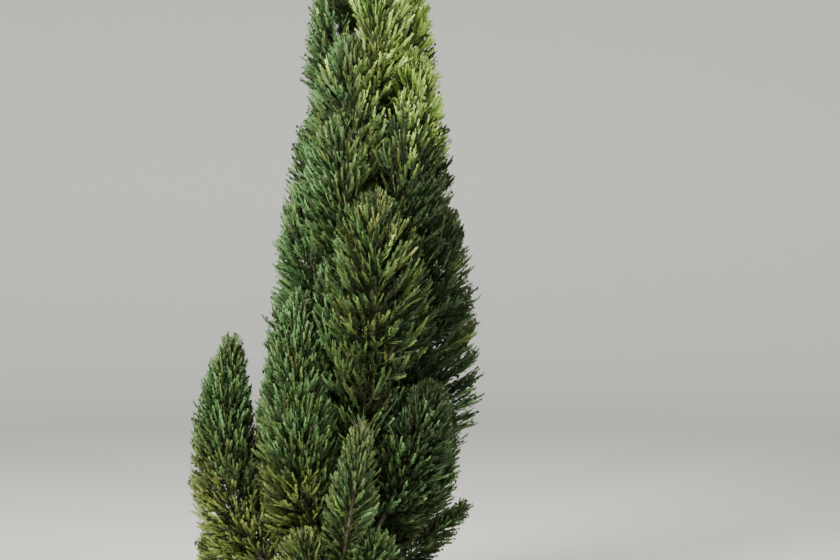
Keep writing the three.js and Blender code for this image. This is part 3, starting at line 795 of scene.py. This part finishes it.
def trunk_skin(column, depth):
    """The trunk's rings carried up its axis: taper, flare, root lobes at the foot and the bark's relief."""
    share = np.linspace(0, 1, TRUNK_RINGS)
    z = column.trunk_height * share**TRUNK_RING_POWER
    angle = 2 * np.pi * np.arange(TRUNK_SIDES) / TRUNK_SIDES
    flare = np.exp(-z / FLARE_RISE)[:, None]
    radius = column.trunk(z)[:, None] * (1 + LOBE_DEPTH * flare * np.cos(ROOT_LOBES * angle))
    taper = np.clip(column.trunk(z) / column.trunk_radius, *RELIEF_RANGE)[:, None]
    radius = radius + bark_relief(angle, z[:, None], column.trunk_radius, depth * taper)
    path = column.centre(z)[None]
    return tubes(path, *level_axes(path), radius[None])


def limb_skin(boughs, starts, stop, rings, sides, depth):
    """Tapering limbs carried along the boughs' curves between two shares of them, with the relief."""
    angle = 2 * np.pi * np.arange(sides) / sides
    limbs = []
    for bough, start in zip(boughs, starts):
        t = np.linspace(start, stop, rings)
        wood = bough.wood_at(t)[:, None]
        relief = bark_relief(angle, (t * bough.top)[:, None], bough.wood, depth * wood / bough.wood)
        limbs.append((bough.at(t), *bough.axes(t)[1:], wood + relief))
    return tubes(*(np.stack(arrays) for arrays in zip(*limbs)))


# Skin of the twigs
TWIG_RINGS = 3
TWIG_SIDES = 3
TWIG_SKIN_END = 0.97
TWIG_FACE = (0.3, 0.2, 1.0)  # a twig's rings are turned by this way
TWIG_TIP_SHARE = 0.4  # of the foot's radius
STOUT_LENGTH = 0.3  # a twig of this length has the full radius
STOUT_RANGE = (0.5, 1.1)


def twig_skin(twigs, foot_radius):
    """Three-sided twigs along their own curves, tapering evenly."""
    share = np.linspace(0, TWIG_SKIN_END, TWIG_RINGS)
    path = np.stack([twigs.at(s * twigs.length) for s in share], axis=1)
    way = np.stack([twigs.way(s * twigs.length) for s in share], axis=1)
    out = unit(np.cross(way, np.broadcast_to(TWIG_FACE, way.shape)))
    across = np.cross(way, out)
    stout = foot_radius * np.clip(twigs.length / STOUT_LENGTH, *STOUT_RANGE)[:, None]
    radius = lerp(stout, TWIG_TIP_SHARE * foot_radius, share[None])
    return tubes(path, out, across, np.repeat(radius[:, :, None], TWIG_SIDES, axis=2))


# Shape of a sprig: cord-like branchlets set along it in a loose fan
BRANCHLETS = 15
BRANCHLET_REACH = (0.27, 0.15)  # its length at the sprig's foot and tip, as a share of the sprig's
BRANCHLET_ANGLE = (23, 12)  # degrees to the sprig at its foot and tip
BRANCHLET_FAN = 0.8  # radians that branchlets stand out of the fan's plane, either way
BRANCHLET_RANGE = (0.04, 0.86)  # where they spring, as shares of the sprig's length
ANGLE_PLAY = (0.7, 1.35)
REACH_PLAY = (0.75, 1.25)
WIDTH_PLAY = (0.8, 1.2)
END_WIDTH = 0.8  # of the branchlet that runs along the sprig itself
WIDEST_AT = 0.5
FOLD = 0.3
SPRIG_BEND = 0.12
FACING_PLAY = 0.35
OLD_BRANCHLETS = 4


def sprig_skin(sprigs, count, width, rng):
    """Sprigs of kite-shaped branchlets, each two triangles folded along its middle.

    A branchlet leaves the sprig at an even station, on alternate sides and a little out of the fan's plane.
    It is widest halfway: foot, right, tip, left. The last one runs along the sprig itself.
    """
    n = len(sprigs.length)
    share = np.linspace(*BRANCHLET_RANGE, count)
    side = np.where(np.arange(count) % 2, 1.0, -1.0)
    length = sprigs.length[:, None, None]
    way = sprigs.way[:, None]
    normal = sprigs.normal[:, None]
    aside = np.cross(normal, way)
    lift = unit((0, 0, 1) - way * way[..., 2:])
    foot = sprigs.root[:, None] + length * (share[:, None] * way + SPRIG_BEND * share[:, None] ** 2 * lift)
    bent = unit(way + 2 * SPRIG_BEND * share[:, None] * lift)
    angle = np.radians(lerp(*BRANCHLET_ANGLE, share) * rng.uniform(*ANGLE_PLAY, (n, count)))[..., None]
    roll = BRANCHLET_FAN * rng.uniform(-1, 1, (n, count, 1))
    outward = side[:, None] * aside * np.cos(roll) + normal * np.sin(roll)
    reaches = lerp(*BRANCHLET_REACH, share)
    reach = length * (reaches * rng.uniform(*REACH_PLAY, (n, count)))[..., None]
    along = unit(bent * np.cos(angle) + outward * np.sin(angle))
    foot = np.concatenate([foot, sprigs.root[:, None]], axis=1)
    along = np.concatenate([along, unit(way + SPRIG_BEND * lift)], axis=1)
    reach = np.concatenate([reach, length], axis=1)
    facing = unit(normal + FACING_PLAY * rng.normal(size=along.shape))
    across = unit(np.cross(along, facing))
    up = np.cross(across, along)
    wide = width * rng.uniform(*WIDTH_PLAY, (n, count + 1, 1))
    wide = wide * np.append(np.ones(count), END_WIDTH)[:, None]
    middle = foot + along * reach * WIDEST_AT - up * wide * FOLD
    corners = [foot, middle - across * wide / 2, foot + along * reach, middle + across * wide / 2]
    points = np.stack(corners, axis=2).reshape(-1, 3)
    first = 4 * np.arange(n * (count + 1))[:, None]
    faces = np.concatenate([first + (0, 1, 2), first + (0, 2, 3)], axis=1).reshape(-1, 3)
    start = np.append(share, 0)[:, None]
    end = np.minimum(start + np.append(reaches, 1)[:, None], 1)
    halfway = lerp(start, end, WIDEST_AT)
    tip_share = np.concatenate([start, halfway, end, halfway], axis=1)
    tip_share = np.broadcast_to(tip_share, (n, count + 1, 4)).ravel()
    return points, faces, tip_share


# Tints of the sprigs: four from the coolest to the warmest, the coolest mostly painted sky light on the
# left, and three more: deep, mostly painted shade, one of painted sunlight, and dry for old sprays
TINTS = ("cool", "leaf", "olive", "gold", "deep", "fresh", "dry")
OLIVE, DEEP, SUNLIT, DRY = 2, 4, 5, 6
WARMTH_STEPS = (0.22, 0.5, 0.76)  # where one of the four turns into the next
MIDDLE_WARMTH = 0.52
LOW_WARMTH = 0.3  # of the middle, low down
# The left side's cool tint is painted sky light
LEFT_WARMTH = 0.10
GOLD_WARMTH = 0.82
SHADED_WARMTH = -0.15  # what the shaded side adds, a painted shade
WARMTH_PLAY = (0.12, 0.05)  # by twig and by sprig
SUNNY_HEIGHT = (2.0, 2.55)  # where the right side turns from painted shade to painted sunlight
BEHIND_SHARE = 0.25  # how much of these two tints the far side keeps

# Where each side starts and is in full, as cosines to the front, the right or the left
FRONT_SIDE = (-0.7, 0.3)
SUNNY_SIDE = (-0.25, 0.5)
SHADED_SIDE = (0.1, 0.8)
LEFT_SIDE = (-0.1, 0.8)
INNER_RANGE = (0.35, 0.8)  # shares of the outline, from inside to outside
GOLD_HEIGHT = (1.15, 0.5)  # going down
LOW_HEIGHT = (1.3, 0.9)
PATCH_WAVE = (14.0, -9.0, 11.0)  # radians in a metre
PATCH_DEPTH = 0.08
OWN_SHARE = 0.25  # of the sprigs, which differ from their twig
DEEP_CHANCES = (0.05, 0.2, 0.8)  # anywhere, inside and on the shaded side; inside and on the shaded side it is painted shade
SUNLIT_LUCK = 0.995  # a sprig luckier than this takes the tint of painted sunlight
SUNLIT_FOOT = 0.35  # how much of the sunny side's luck the foot of a twig has
# painted sunlight that the tips take high up all round
HIGH_SUNLIT = 0.04
LEAST_ROOM = (0.01, 0.05)  # from the trunk's axis, and of the outline
DRY_SHARE = 0.4


def tint_of(column, sprigs, rng):
    """Which tint each sprig takes, by its place and by chance.

    The left side is cool, a painted sky light, the middle olive and the foot of the left side golden. The
    shaded right side is deep and the inside of the crown often so, both painted shade, and the upper right
    takes painted sunlight, most towards its twigs' tips. All the sprigs of a twig lean the same way, so
    sprays stand out from each other.
    """
    centre = column.centre(sprigs.root[:, 2])
    aside = sprigs.root - centre
    out = np.maximum(np.hypot(aside[:, 0], aside[:, 1]), LEAST_ROOM[0])
    right = aside[:, 0] / out
    z = sprigs.root[:, 2]
    inner = 1 - smoothstep(out / np.maximum(column.outline(z), LEAST_ROOM[1]), *INNER_RANGE)
    high = smoothstep(z, *SUNNY_HEIGHT)
    seen = lerp(BEHIND_SHARE, 1, smoothstep(-aside[:, 1] / out, *FRONT_SIDE))
    # Painted sunlight high on the right, painted shade below it, both weaker on the far side
    sunny = seen * high * smoothstep(right, *SUNNY_SIDE)
    shaded = seen * (1 - high) * smoothstep(right, *SHADED_SIDE)
    left = smoothstep(-right, *LEFT_SIDE)
    golden = smoothstep(z, *GOLD_HEIGHT) * left
    low = smoothstep(z, *LOW_HEIGHT)
    count, twigs = len(z), sprigs.twig.max() + 1
    warmth = lerp(lerp(MIDDLE_WARMTH, LOW_WARMTH, low), LEFT_WARMTH, left)
    warmth = lerp(warmth, GOLD_WARMTH, golden) + SHADED_WARMTH * shaded
    by_twig = WARMTH_PLAY[0] * rng.normal(size=twigs)[sprigs.twig]
    warmth += by_twig + WARMTH_PLAY[1] * rng.normal(size=count)
    warmth += PATCH_DEPTH * np.sin(sprigs.root @ PATCH_WAVE)
    tint = np.searchsorted(WARMTH_STEPS, warmth)
    luck = np.where(rng.random(count) < OWN_SHARE, rng.random(count), rng.random(twigs)[sprigs.twig])
    anywhere, inside, by_shade = DEEP_CHANCES
    # Deep sprigs: painted shade inside the crown and on the shaded side, and a few anywhere
    tint[luck < anywhere + inside * inner + by_shade * shaded] = DEEP
    # Sprigs of painted sunlight, more of them towards their twig's tip
    tint[luck > SUNLIT_LUCK - sunny * lerp(SUNLIT_FOOT, 1, sprigs.share) - HIGH_SUNLIT * high] = SUNLIT
    return tint


def feed(tree, socket, value):
    """Links an input to another node's output, or sets it."""
    if isinstance(value, bpy.types.NodeSocket):
        tree.links.new(value, socket)
    else:
        socket.default_value = value


def add_node(tree, kind, inputs, **settings):
    """A shader node with its settings, and its inputs linked or set."""
    node = tree.nodes.new(f"ShaderNode{kind}")
    for name, value in settings.items():
        setattr(node, name, value)
    for socket, value in inputs.items():
        feed(tree, node.inputs[socket], value)
    return node


def new_group(name, inputs):
    """A shader group that gives colour, roughness and height, and the sockets of its two ends."""
    group = bpy.data.node_groups.new(name, "ShaderNodeTree")
    for socket, value in inputs.items():
        kind = "NodeSocketFloat" if isinstance(value, float) else "NodeSocketColor"
        group.interface.new_socket(socket, in_out="INPUT", socket_type=kind).default_value = value
    for socket, kind in (("Colour", "Color"), ("Roughness", "Float"), ("Height", "Float")):
        group.interface.new_socket(socket, in_out="OUTPUT", socket_type=f"NodeSocket{kind}")
    return group, group.nodes.new("NodeGroupInput").outputs, group.nodes.new("NodeGroupOutput").inputs


def maths(group, operation, first, second):
    """A maths node of two values, each a socket or a number."""
    return add_node(group, "Math", {0: first, 1: second}, operation=operation).outputs[0]


def noise(group, vector, scale, detail, roughness=0.55):
    values = {"Vector": vector, "Scale": scale, "Detail": detail, "Roughness": roughness}
    return add_node(group, "TexNoise", values).outputs["Fac"]


def blend(group, factor, first, second, mode="MIX"):
    """A mix of two colours by a factor, each a socket or a constant."""
    values = {0: factor, 6: first, 7: second}
    return add_node(group, "Mix", values, data_type="RGBA", blend_type=mode).outputs[2]


def remap(group, value, low, high):
    """The value's share of the way from low to high, held between 0 and 1."""
    values = {"Value": value, "From Min": low, "From Max": high}
    return add_node(group, "MapRange", values).outputs["Result"]


def end_group(group, result, colour, worn, roughness, height):
    """Links a group's colour, its roughness, least + added x worn, and its height to its end."""
    least, added = roughness
    feed(group, result["Colour"], colour)
    feed(group, result["Roughness"], maths(group, "ADD", maths(group, "MULTIPLY", worn, added), least))
    feed(group, result["Height"], height)


# Looks of the leaves
TIP_RANGE = (0.35, 1.0)  # shares of the sprig in which the tips' lighter colour comes in: young growth and painted highlight
TIP_BASE = 0.4  # what is added to the mottle before it weighs that colour
FOOT_RANGE = (-0.35, 0.45)  # shares of the sprig in which the darkening of its foot dies away: older leaves and painted shade
SHADE_RANGE = (-1.2, 1.0)
# What the foot's colour is multiplied by: painted shade where sprigs overlap, and older leaves
FOOT_SHADE = (0.32, 0.36, 0.30, 1)
MOTTLE_DETAIL = 3.0
LEAF_ROUGHNESS = (0.5, 0.22)  # the least, and what the mottle adds
SCALE_NOISE = (900.0, 1.0)  # scale and detail
LEAF_BUMP = dict(bump=0.2, distance=0.001)


def foliage_group():
    """Colour, roughness and height of leaves: a mottled colour that lightens towards the tips.
    The lighter tips stand for young growth and a painted highlight, the darker feet for older leaves and
    painted shade.
    """
    name = "Mottled leaves"
    if name in bpy.data.node_groups:
        return bpy.data.node_groups[name]
    group, given, result = new_group(name, {
        "Colour": (0.1, 0.2, 0.05, 1), "Tip Colour": (0.2, 0.3, 0.1, 1), "Tip Share": 0.5, "Shade": 0.5,
        "Mottle Scale": 60.0})
    place = add_node(group, "TexCoord", {}).outputs["Object"]
    mottle = noise(group, place, given["Mottle Scale"], MOTTLE_DETAIL)
    tip = remap(group, given["Tip Share"], *TIP_RANGE)
    lit = maths(group, "MULTIPLY", tip, maths(group, "ADD", mottle, TIP_BASE))
    colour = blend(group, lit, given["Colour"], given["Tip Colour"])
    # Painted shade and older leaves at each sprig's foot, and a random darkening of the whole sprig
    foot = remap(group, given["Tip Share"], *FOOT_RANGE)
    shade = maths(group, "MULTIPLY", foot, remap(group, given["Shade"], *SHADE_RANGE))
    dark = blend(group, 1.0, colour, FOOT_SHADE, "MULTIPLY")
    colour = blend(group, shade, dark, colour)
    end_group(group, result, colour, mottle, LEAF_ROUGHNESS, noise(group, place, *SCALE_NOISE))
    return group


# Looks of the bark
FIBRE_NOISE = (0.35, 6.0, 0.65)  # scale, detail and roughness
FIBRE_RANGE = (0.36, 0.62)
BLOTCH_NOISE = (11.0, 4.0)
BLOTCH_RANGE = (0.45, 0.7)
GREY = (0.36, 0.34, 0.27, 1)
GREY_SHARE = 0.5
BARK_ROUGHNESS = (0.8, 0.14)  # the least, and what the ridges add
TRUNK_FIBRES = (9.0, 14.0)  # fibres round the limb and along it
BOUGH_FIBRES = (5.0, 18.0)


def bark_group():
    """Colour, roughness and height of bark: grey-brown fibres along the limb over a redder ground."""
    name = "Fibrous bark"
    if name in bpy.data.node_groups:
        return bpy.data.node_groups[name]
    group, given, result = new_group(name, {
        "Ridge Colour": (0.3, 0.25, 0.2, 1), "Furrow Colour": (0.1, 0.06, 0.04, 1), "Fibres Round": 40.0,
        "Fibres Along": 9.0})
    uv = add_node(group, "UVMap", {}, uv_map="UVMap").outputs["UV"]
    split = add_node(group, "SeparateXYZ", {0: uv}).outputs
    turn = maths(group, "MULTIPLY", split["X"], 2 * math.pi)
    join = {axis: maths(group, "MULTIPLY", maths(group, function, turn, 0), given["Fibres Round"])
            for axis, function in (("X", "COSINE"), ("Y", "SINE"))}
    join["Z"] = maths(group, "MULTIPLY", split["Y"], given["Fibres Along"])
    fibres = noise(group, add_node(group, "CombineXYZ", join).outputs[0], *FIBRE_NOISE)
    ridge = remap(group, fibres, *FIBRE_RANGE)
    blotch = noise(group, add_node(group, "TexCoord", {}).outputs["Object"], *BLOTCH_NOISE)
    colour = blend(group, ridge, given["Furrow Colour"], given["Ridge Colour"])
    grey = blend(group, GREY_SHARE, colour, GREY)
    colour = blend(group, remap(group, blotch, *BLOTCH_RANGE), colour, grey)
    end_group(group, result, colour, ridge, BARK_ROUGHNESS, fibres)
    return group


def new_material(name, group, values, bump, distance, specular):
    """A material whose colour, roughness and bump come from a group, on a plain shader."""
    material = bpy.data.materials.new(name)
    material.use_nodes = True
    tree = material.node_tree
    node = add_node(tree, "Group", values, node_tree=group)
    height = {"Strength": bump, "Distance": distance, "Height": node.outputs["Height"]}
    looks = {
        "Base Color": node.outputs["Colour"],
        "Roughness": node.outputs["Roughness"],
        "Normal": add_node(tree, "Bump", height).outputs["Normal"],
        "Specular IOR Level": specular,
    }
    for socket, value in looks.items():
        feed(tree, tree.nodes["Principled BSDF"].inputs[socket], value)
    return material, node


def leaf_material(tint, colours):
    """The leaf material of one tint, which reads each sprig's own attributes."""
    name = f"leaves {tint}"
    if name in bpy.data.materials:
        return bpy.data.materials[name]
    colour = np.array(getattr(colours, tint))
    tip = np.clip(colour * colours.tip_gain, 0, 1)
    values = {"Colour": (*colour, 1), "Tip Colour": (*tip, 1)}
    material, node = new_material(name, foliage_group(), values, **LEAF_BUMP, specular=0.3)
    tree = material.node_tree
    for socket, attribute in (("Tip Share", "tip_share"), ("Shade", "sprig_shade")):
        read = add_node(tree, "Attribute", {}, attribute_name=attribute)
        feed(tree, node.inputs[socket], read.outputs["Fac"])
    return material


def bark_material(name, colours, fibres):
    if name in bpy.data.materials:
        return bpy.data.materials[name]
    values = {"Ridge Colour": (*colours.ridge, 1), "Furrow Colour": (*colours.furrow, 1),
              "Fibres Round": fibres[0], "Fibres Along": fibres[1]}
    return new_material(name, bark_group(), values, bump=0.6, distance=0.004, specular=0.25)[0]


def number(name, description, default, unit="NONE"):
    return FloatProperty(name=name, description=description, default=default, unit=unit)


def metres(name, description, default):
    return number(name, description, default, "LENGTH")


def colour_property(name, description, colour):
    return FloatVectorProperty(name=name, description=description, default=colour, size=3, min=0, max=1,
                               subtype="COLOR")


class CypressTree(PropertyGroup):
    """Driving sizes of the trunk and the column."""

    height: metres("Height", "Ground to the tip of the top spray", 4.2)
    wide_height: metres("Widest At", "Height at which the column is widest", 1.16)
    wide_radius: metres("Widest Radius", "Radius of the column there", 0.473)
    trunk_height: metres("Trunk Height", "Ground to the trunk's tip", round(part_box("trunk")[1].z, 4))
    trunk_radius: metres("Trunk Radius", "Radius above the root flare", 0.05)
    lean: metres("Lean", "How far the trunk has moved to the right", 0.115)
    sway: metres("Sway", "A slow bend from front to back", 0.016)
    flare: metres("Root Flare", "What the flare adds at the ground", 0.03)
    relief: metres("Bark Relief", "Depth of the furrows in the bark", 0.004)

    def column(self):
        """The column with the settings of the same names."""
        return Column(*(getattr(self, name) for name in Column.__dataclass_fields__))


class CypressFoliage(PropertyGroup):
    """How much grows on the limbs."""

    twigs: IntProperty(
        name="Twigs", description="Twigs tried in the whole crown", default=12000, min=100)
    twig_reach: metres("Twig Reach", "The furthest that a twig may run", 0.46)
    sprig_spacing: metres("Sprig Spacing", "Between two sprigs on a twig", 0.030)
    sprig_length: metres("Sprig Length", "Length of a full sprig", 0.15)
    leaf_width: metres("Branchlet Width", "Width of a branchlet with its scale leaves", 0.0066)
    old_width: metres("Old Branchlet Width", "Width of the old inner branchlets", 0.017)
    twig_radius: metres("Twig Radius", "Radius of a twig at its foot", 0.0026)
    seed: IntProperty(name="Seed", description="Start of the chances", default=7, min=0)


class CypressColours(PropertyGroup):
    """Plain base colours of the foliage and the bark."""

    # Painted shade: the shaded side and the inside of the crown
    deep: colour_property("Deep", "Shaded sprays", (0.029, 0.058, 0.020))
    # Painted sky light on the left side
    cool: colour_property("Cool", "Sprays of the left side", (0.110, 0.230, 0.076))
    leaf: colour_property("Leaf", "The common green", (0.108, 0.188, 0.050))
    olive: colour_property("Olive", "Sprays of the middle", (0.150, 0.205, 0.050))
    # Painted sunlight on the upper right
    fresh: colour_property("Fresh", "Young tips of the upper right", (0.41, 0.72, 0.14))
    gold: colour_property("Gold", "Yellowed sprays low on the left", (0.270, 0.335, 0.080))
    dry: colour_property("Dry", "Old inner sprays", (0.040, 0.046, 0.018))
    # Lighter tips: young growth and a painted highlight
    tip_gain: FloatVectorProperty(
        name="Tip Gain", description="How much lighter the tips are than the foot, by channel",
        default=(1.9, 1.8, 2.0), size=3, min=0, max=4)
    ridge: colour_property("Bark Ridge", "The bark's raised fibres", (0.21, 0.175, 0.115))
    furrow: colour_property("Bark Furrow", "The bark's furrows", (0.062, 0.044, 0.026))
    twig: colour_property("Twig", "Young wood", (0.155, 0.160, 0.072))


class CypressStage(PropertyGroup):
    """The camera, the lights and the floor."""

    eye: FloatVectorProperty(
        name="Camera", description="Where the camera stands, looking level along +Y",
        default=(0.345, -5.5, 1.656), size=3, subtype="TRANSLATION", unit="LENGTH")
    lens: number("Lens", "Focal length in millimetres", 51.24)
    floor: colour_property("Floor", "Floor and backdrop", (0.86, 0.86, 0.84))
    key: number("Key Light", "Light from the upper left", 940, "POWER")
    fill: number("Fill Light", "Warm light from the right", 420, "POWER")
    sky: number("Sky", "Strength of the even light from all round", 0.3)


def plant(context):
    """The crown, the twigs, the live sprigs and the old ones, by the settings of the scene."""
    foliage = context.scene.cypress_foliage
    return grown(context.scene.cypress_tree.column(), foliage.twigs, foliage.twig_reach,
                 foliage.sprig_spacing, foliage.sprig_length, foliage.seed)


def put_bark(name, skin, material, nodes):
    """A piece of bark that stands for these nodes."""
    made = put_mesh(name, *skin)
    dress(made, [material], nodes)
    return made.data


def foliage_nodes(crown, chosen):
    """The solids' nodes of the masses with these numbers."""
    return [f"foliage_{crown.masses[k].name}" for k in chosen]


class CYPRESS_OT_trunk(Operator):
    """Make the trunk's skin with its bark."""

    bl_idname = "cypress.trunk"
    bl_label = "Trunk"

    def execute(self, context):
        tree = context.scene.cypress_tree
        bark = bark_material("trunk bark", context.scene.cypress_colours, TRUNK_FIBRES)
        put_bark("trunk_bark", trunk_skin(tree.column(), tree.relief), bark, ["trunk"]).shade_smooth()
        return {"FINISHED"}


class CYPRESS_OT_boughs(Operator):
    """Make the low boughs' skins with their bark."""

    bl_idname = "cypress.boughs"
    bl_label = "Low Boughs"

    def execute(self, context):
        depth = BOUGH_RELIEF * context.scene.cypress_tree.relief
        bark = bark_material("bough bark", context.scene.cypress_colours, BOUGH_FIBRES)
        for spire in plant(context)[0].spires:
            skin = limb_skin([spire], [0], BOUGH_END, BOUGH_RINGS, BOUGH_SIDES, depth)
            put_bark(f"bough_bark_{spire.name}", skin, bark, [f"bough_{spire.name}"]).shade_smooth()
        return {"FINISHED"}


class CYPRESS_OT_stems(Operator):
    """Make the stems that carry the masses of foliage."""

    bl_idname = "cypress.stems"
    bl_label = "Stems"

    def execute(self, context):
        depth = STEM_RELIEF * context.scene.cypress_tree.relief
        bark = bark_material("bough bark", context.scene.cypress_colours, BOUGH_FIBRES)
        crown = plant(context)[0]
        starts = [BOUGH_END] * len(crown.spires) + [0] * (len(crown.masses) - len(crown.spires))
        skin = limb_skin(crown.masses, starts, STEM_SKIN_END, STEM_RINGS, STEM_SIDES, depth)
        put_bark("stems", skin, bark, foliage_nodes(crown, range(len(crown.masses)))).shade_smooth()
        return {"FINISHED"}


class CYPRESS_OT_twigs(Operator):
    """Make the twigs of every region of the crown."""

    bl_idname = "cypress.twigs"
    bl_label = "Twigs"

    def execute(self, context):
        crown, twigs, _, _ = plant(context)
        colour = (*context.scene.cypress_colours.twig, 1)
        values = {"Colour": colour, "Tip Colour": colour}
        bark, _ = new_material("twig bark", foliage_group(), values, **LEAF_BUMP, specular=0.2)
        for region in REGIONS:
            held = masses_in(crown, region)
            own = twigs.pick(np.isin(twigs.owner, held))
            skin = twig_skin(own, context.scene.cypress_foliage.twig_radius)
            put_bark(f"twigs_{region}", skin, bark, foliage_nodes(crown, held))
        return {"FINISHED"}


def make_leaves(context, prefix, sprigs, branchlets, width, tints):
    """One piece of sprigs for each region of the crown, with a plain tint for each sprig."""
    crown = plant(context)[0]
    materials = [leaf_material(tint, context.scene.cypress_colours) for tint in TINTS]
    rng = np.random.default_rng(context.scene.cypress_foliage.seed + branchlets)
    per_sprig = branchlets + 1
    for region in REGIONS:
        held = masses_in(crown, region)
        chosen = np.isin(sprigs.owner, held)
        own = sprigs.pick(chosen)
        points, faces, tip_share = sprig_skin(own, branchlets, width, rng)
        shade = np.repeat(rng.random(len(own.length)), 4 * per_sprig)
        attributes = {"tip_share": tip_share, "sprig_shade": shade}
        slots = np.repeat(tints[chosen], 2 * per_sprig)
        made = put_mesh(f"{prefix}_{region}", points, faces, slots=slots, attributes=attributes)
        dress(made, materials, foliage_nodes(crown, held))


class CYPRESS_OT_leaves(Operator):
    """Make the live sprays of every region of the crown."""

    bl_idname = "cypress.leaves"
    bl_label = "Sprays"

    def execute(self, context):
        foliage = context.scene.cypress_foliage
        crown, _, live, _ = plant(context)
        tints = tint_of(crown.column, live, np.random.default_rng(foliage.seed + 1))
        make_leaves(context, "leaves", live, BRANCHLETS, foliage.leaf_width, tints)
        return {"FINISHED"}


class CYPRESS_OT_old_leaves(Operator):
    """Make the old inner sprays, which shade the inside of the crown."""

    bl_idname = "cypress.old_leaves"
    bl_label = "Old Sprays"

    def execute(self, context):
        foliage = context.scene.cypress_foliage
        crown, _, _, old = plant(context)
        rng = np.random.default_rng(foliage.seed + 2)
        # Old inner sprays are dry, or deep as painted shade, and olive where a live one would take painted
        # sunlight
        tints = np.where(rng.random(len(old.length)) < DRY_SHARE, DRY, DEEP)
        tints[tint_of(crown.column, old, rng) == SUNLIT] = OLIVE
        make_leaves(context, "old_leaves", old, OLD_BRANCHLETS, foliage.old_width, tints)
        return {"FINISHED"}


# Stage
MIDDLE = (0.1, 0.0, 1.8)  # what the lights face
KEY_LIGHT = dict(place=(-4.4, -4.2, 4.6), size=2.6, colour=(1.0, 0.98, 0.92))
FILL_LIGHT = dict(place=(4.4, -1.6, 5.4), size=2.4, colour=(1.0, 0.94, 0.80))
SKY_COLOUR = (0.86, 0.92, 1.0, 1)
SENSOR_WIDTH = 36
FLOOR_RADIUS = 9.0
FLOOR_BEND = 3.0
FLOOR_BEND_RINGS = 12
BACKDROP_HEIGHT = 7.0
FLOOR_SIDES = 96
FLOOR_ROUGHNESS = 0.9


def area_light(name, power, place, size, colour):
    """A square soft light that faces the tree."""
    light = bpy.data.lights.new(name, "AREA")
    light.energy = power
    light.size = size
    light.color = colour
    made = bpy.data.objects.new(name, light)
    bpy.context.scene.collection.objects.link(made)
    made.location = place
    made.rotation_euler = (Vector(MIDDLE) - Vector(place)).to_track_quat("-Z", "Y").to_euler()


class CYPRESS_OT_stage(Operator):
    """Make the floor and backdrop, the lights and the camera."""

    bl_idname = "cypress.stage"
    bl_label = "Stage"

    def execute(self, context):
        stage = context.scene.cypress_stage
        self.floor(stage)
        area_light("key", stage.key, **KEY_LIGHT)
        area_light("fill", stage.fill, **FILL_LIGHT)
        world = bpy.data.worlds.new("studio")
        world.use_nodes = True
        light = world.node_tree.nodes["Background"]
        light.inputs["Color"].default_value = SKY_COLOUR
        light.inputs["Strength"].default_value = stage.sky
        context.scene.world = world
        camera = bpy.data.cameras.new("camera")
        camera.lens = stage.lens
        camera.sensor_width = SENSOR_WIDTH
        made = bpy.data.objects.new("camera", camera)
        context.scene.collection.objects.link(made)
        made.location = stage.eye
        made.rotation_euler = (math.pi / 2, 0, 0)
        context.scene.camera = made
        return {"FINISHED"}

    def floor(self, stage):
        """A round floor that turns up into a backdrop: a quarter circle and a rise carried round the tree.

        The open top is left off.
        """
        quarter = np.linspace(0, math.pi / 2, FLOOR_BEND_RINGS)
        radius = np.append(FLOOR_RADIUS + FLOOR_BEND * np.sin(quarter), FLOOR_RADIUS + FLOOR_BEND)
        z = np.append(FLOOR_BEND * (1 - np.cos(quarter)), BACKDROP_HEIGHT)
        path = np.stack([0 * z, 0 * z, z], axis=-1)[None]
        rings = np.repeat(radius[None, :, None], FLOOR_SIDES, axis=2)
        points, faces, _ = tubes(path, *level_axes(path), rings)
        made = put_mesh("floor", points, faces[:-FLOOR_SIDES, ::-1])
        material = bpy.data.materials.new("floor")
        material.use_nodes = True
        shader = material.node_tree.nodes["Principled BSDF"]
        shader.inputs["Base Color"].default_value = (*stage.floor, 1)
        shader.inputs["Roughness"].default_value = FLOOR_ROUGHNESS
        made.data.materials.append(material)
        made.data.shade_smooth()


GROUPS = {
    "cypress_tree": CypressTree,
    "cypress_foliage": CypressFoliage,
    "cypress_colours": CypressColours,
    "cypress_stage": CypressStage,
}
OPERATORS = (
    CYPRESS_OT_trunk,
    CYPRESS_OT_boughs,
    CYPRESS_OT_stems,
    CYPRESS_OT_twigs,
    CYPRESS_OT_leaves,
    CYPRESS_OT_old_leaves,
    CYPRESS_OT_stage,
)


class CYPRESS_PT_panel(Panel):
    """The sizes, the colours and the steps that make the tree."""

    bl_idname = "CYPRESS_PT_panel"
    bl_label = "Cypress"
    bl_space_type = "VIEW_3D"
    bl_region_type = "UI"
    bl_category = "Cypress"

    def draw(self, context):
        for attribute, group in GROUPS.items():
            box = self.layout.box()
            for name in group.__annotations__:
                box.prop(getattr(context.scene, attribute), name)
        for operator in OPERATORS:
            self.layout.operator(operator.bl_idname)


def register():
    for attribute, group in GROUPS.items():
        bpy.utils.register_class(group)
        setattr(bpy.types.Scene, attribute, PointerProperty(type=group))
    for operator in OPERATORS:
        bpy.utils.register_class(operator)
    bpy.utils.register_class(CYPRESS_PT_panel)


def unregister():
    bpy.utils.unregister_class(CYPRESS_PT_panel)
    for operator in reversed(OPERATORS):
        bpy.utils.unregister_class(operator)
    for attribute, group in reversed(GROUPS.items()):
        delattr(bpy.types.Scene, attribute)
        bpy.utils.unregister_class(group)


def main():
    """Makes the tree and its stage."""
    register()
    bpy.ops.cypress.trunk()
    bpy.ops.cypress.boughs()
    bpy.ops.cypress.stems()
    bpy.ops.cypress.twigs()
    bpy.ops.cypress.leaves()
    bpy.ops.cypress.old_leaves()
    bpy.ops.cypress.stage()


if __name__ == "__main__":
    main()
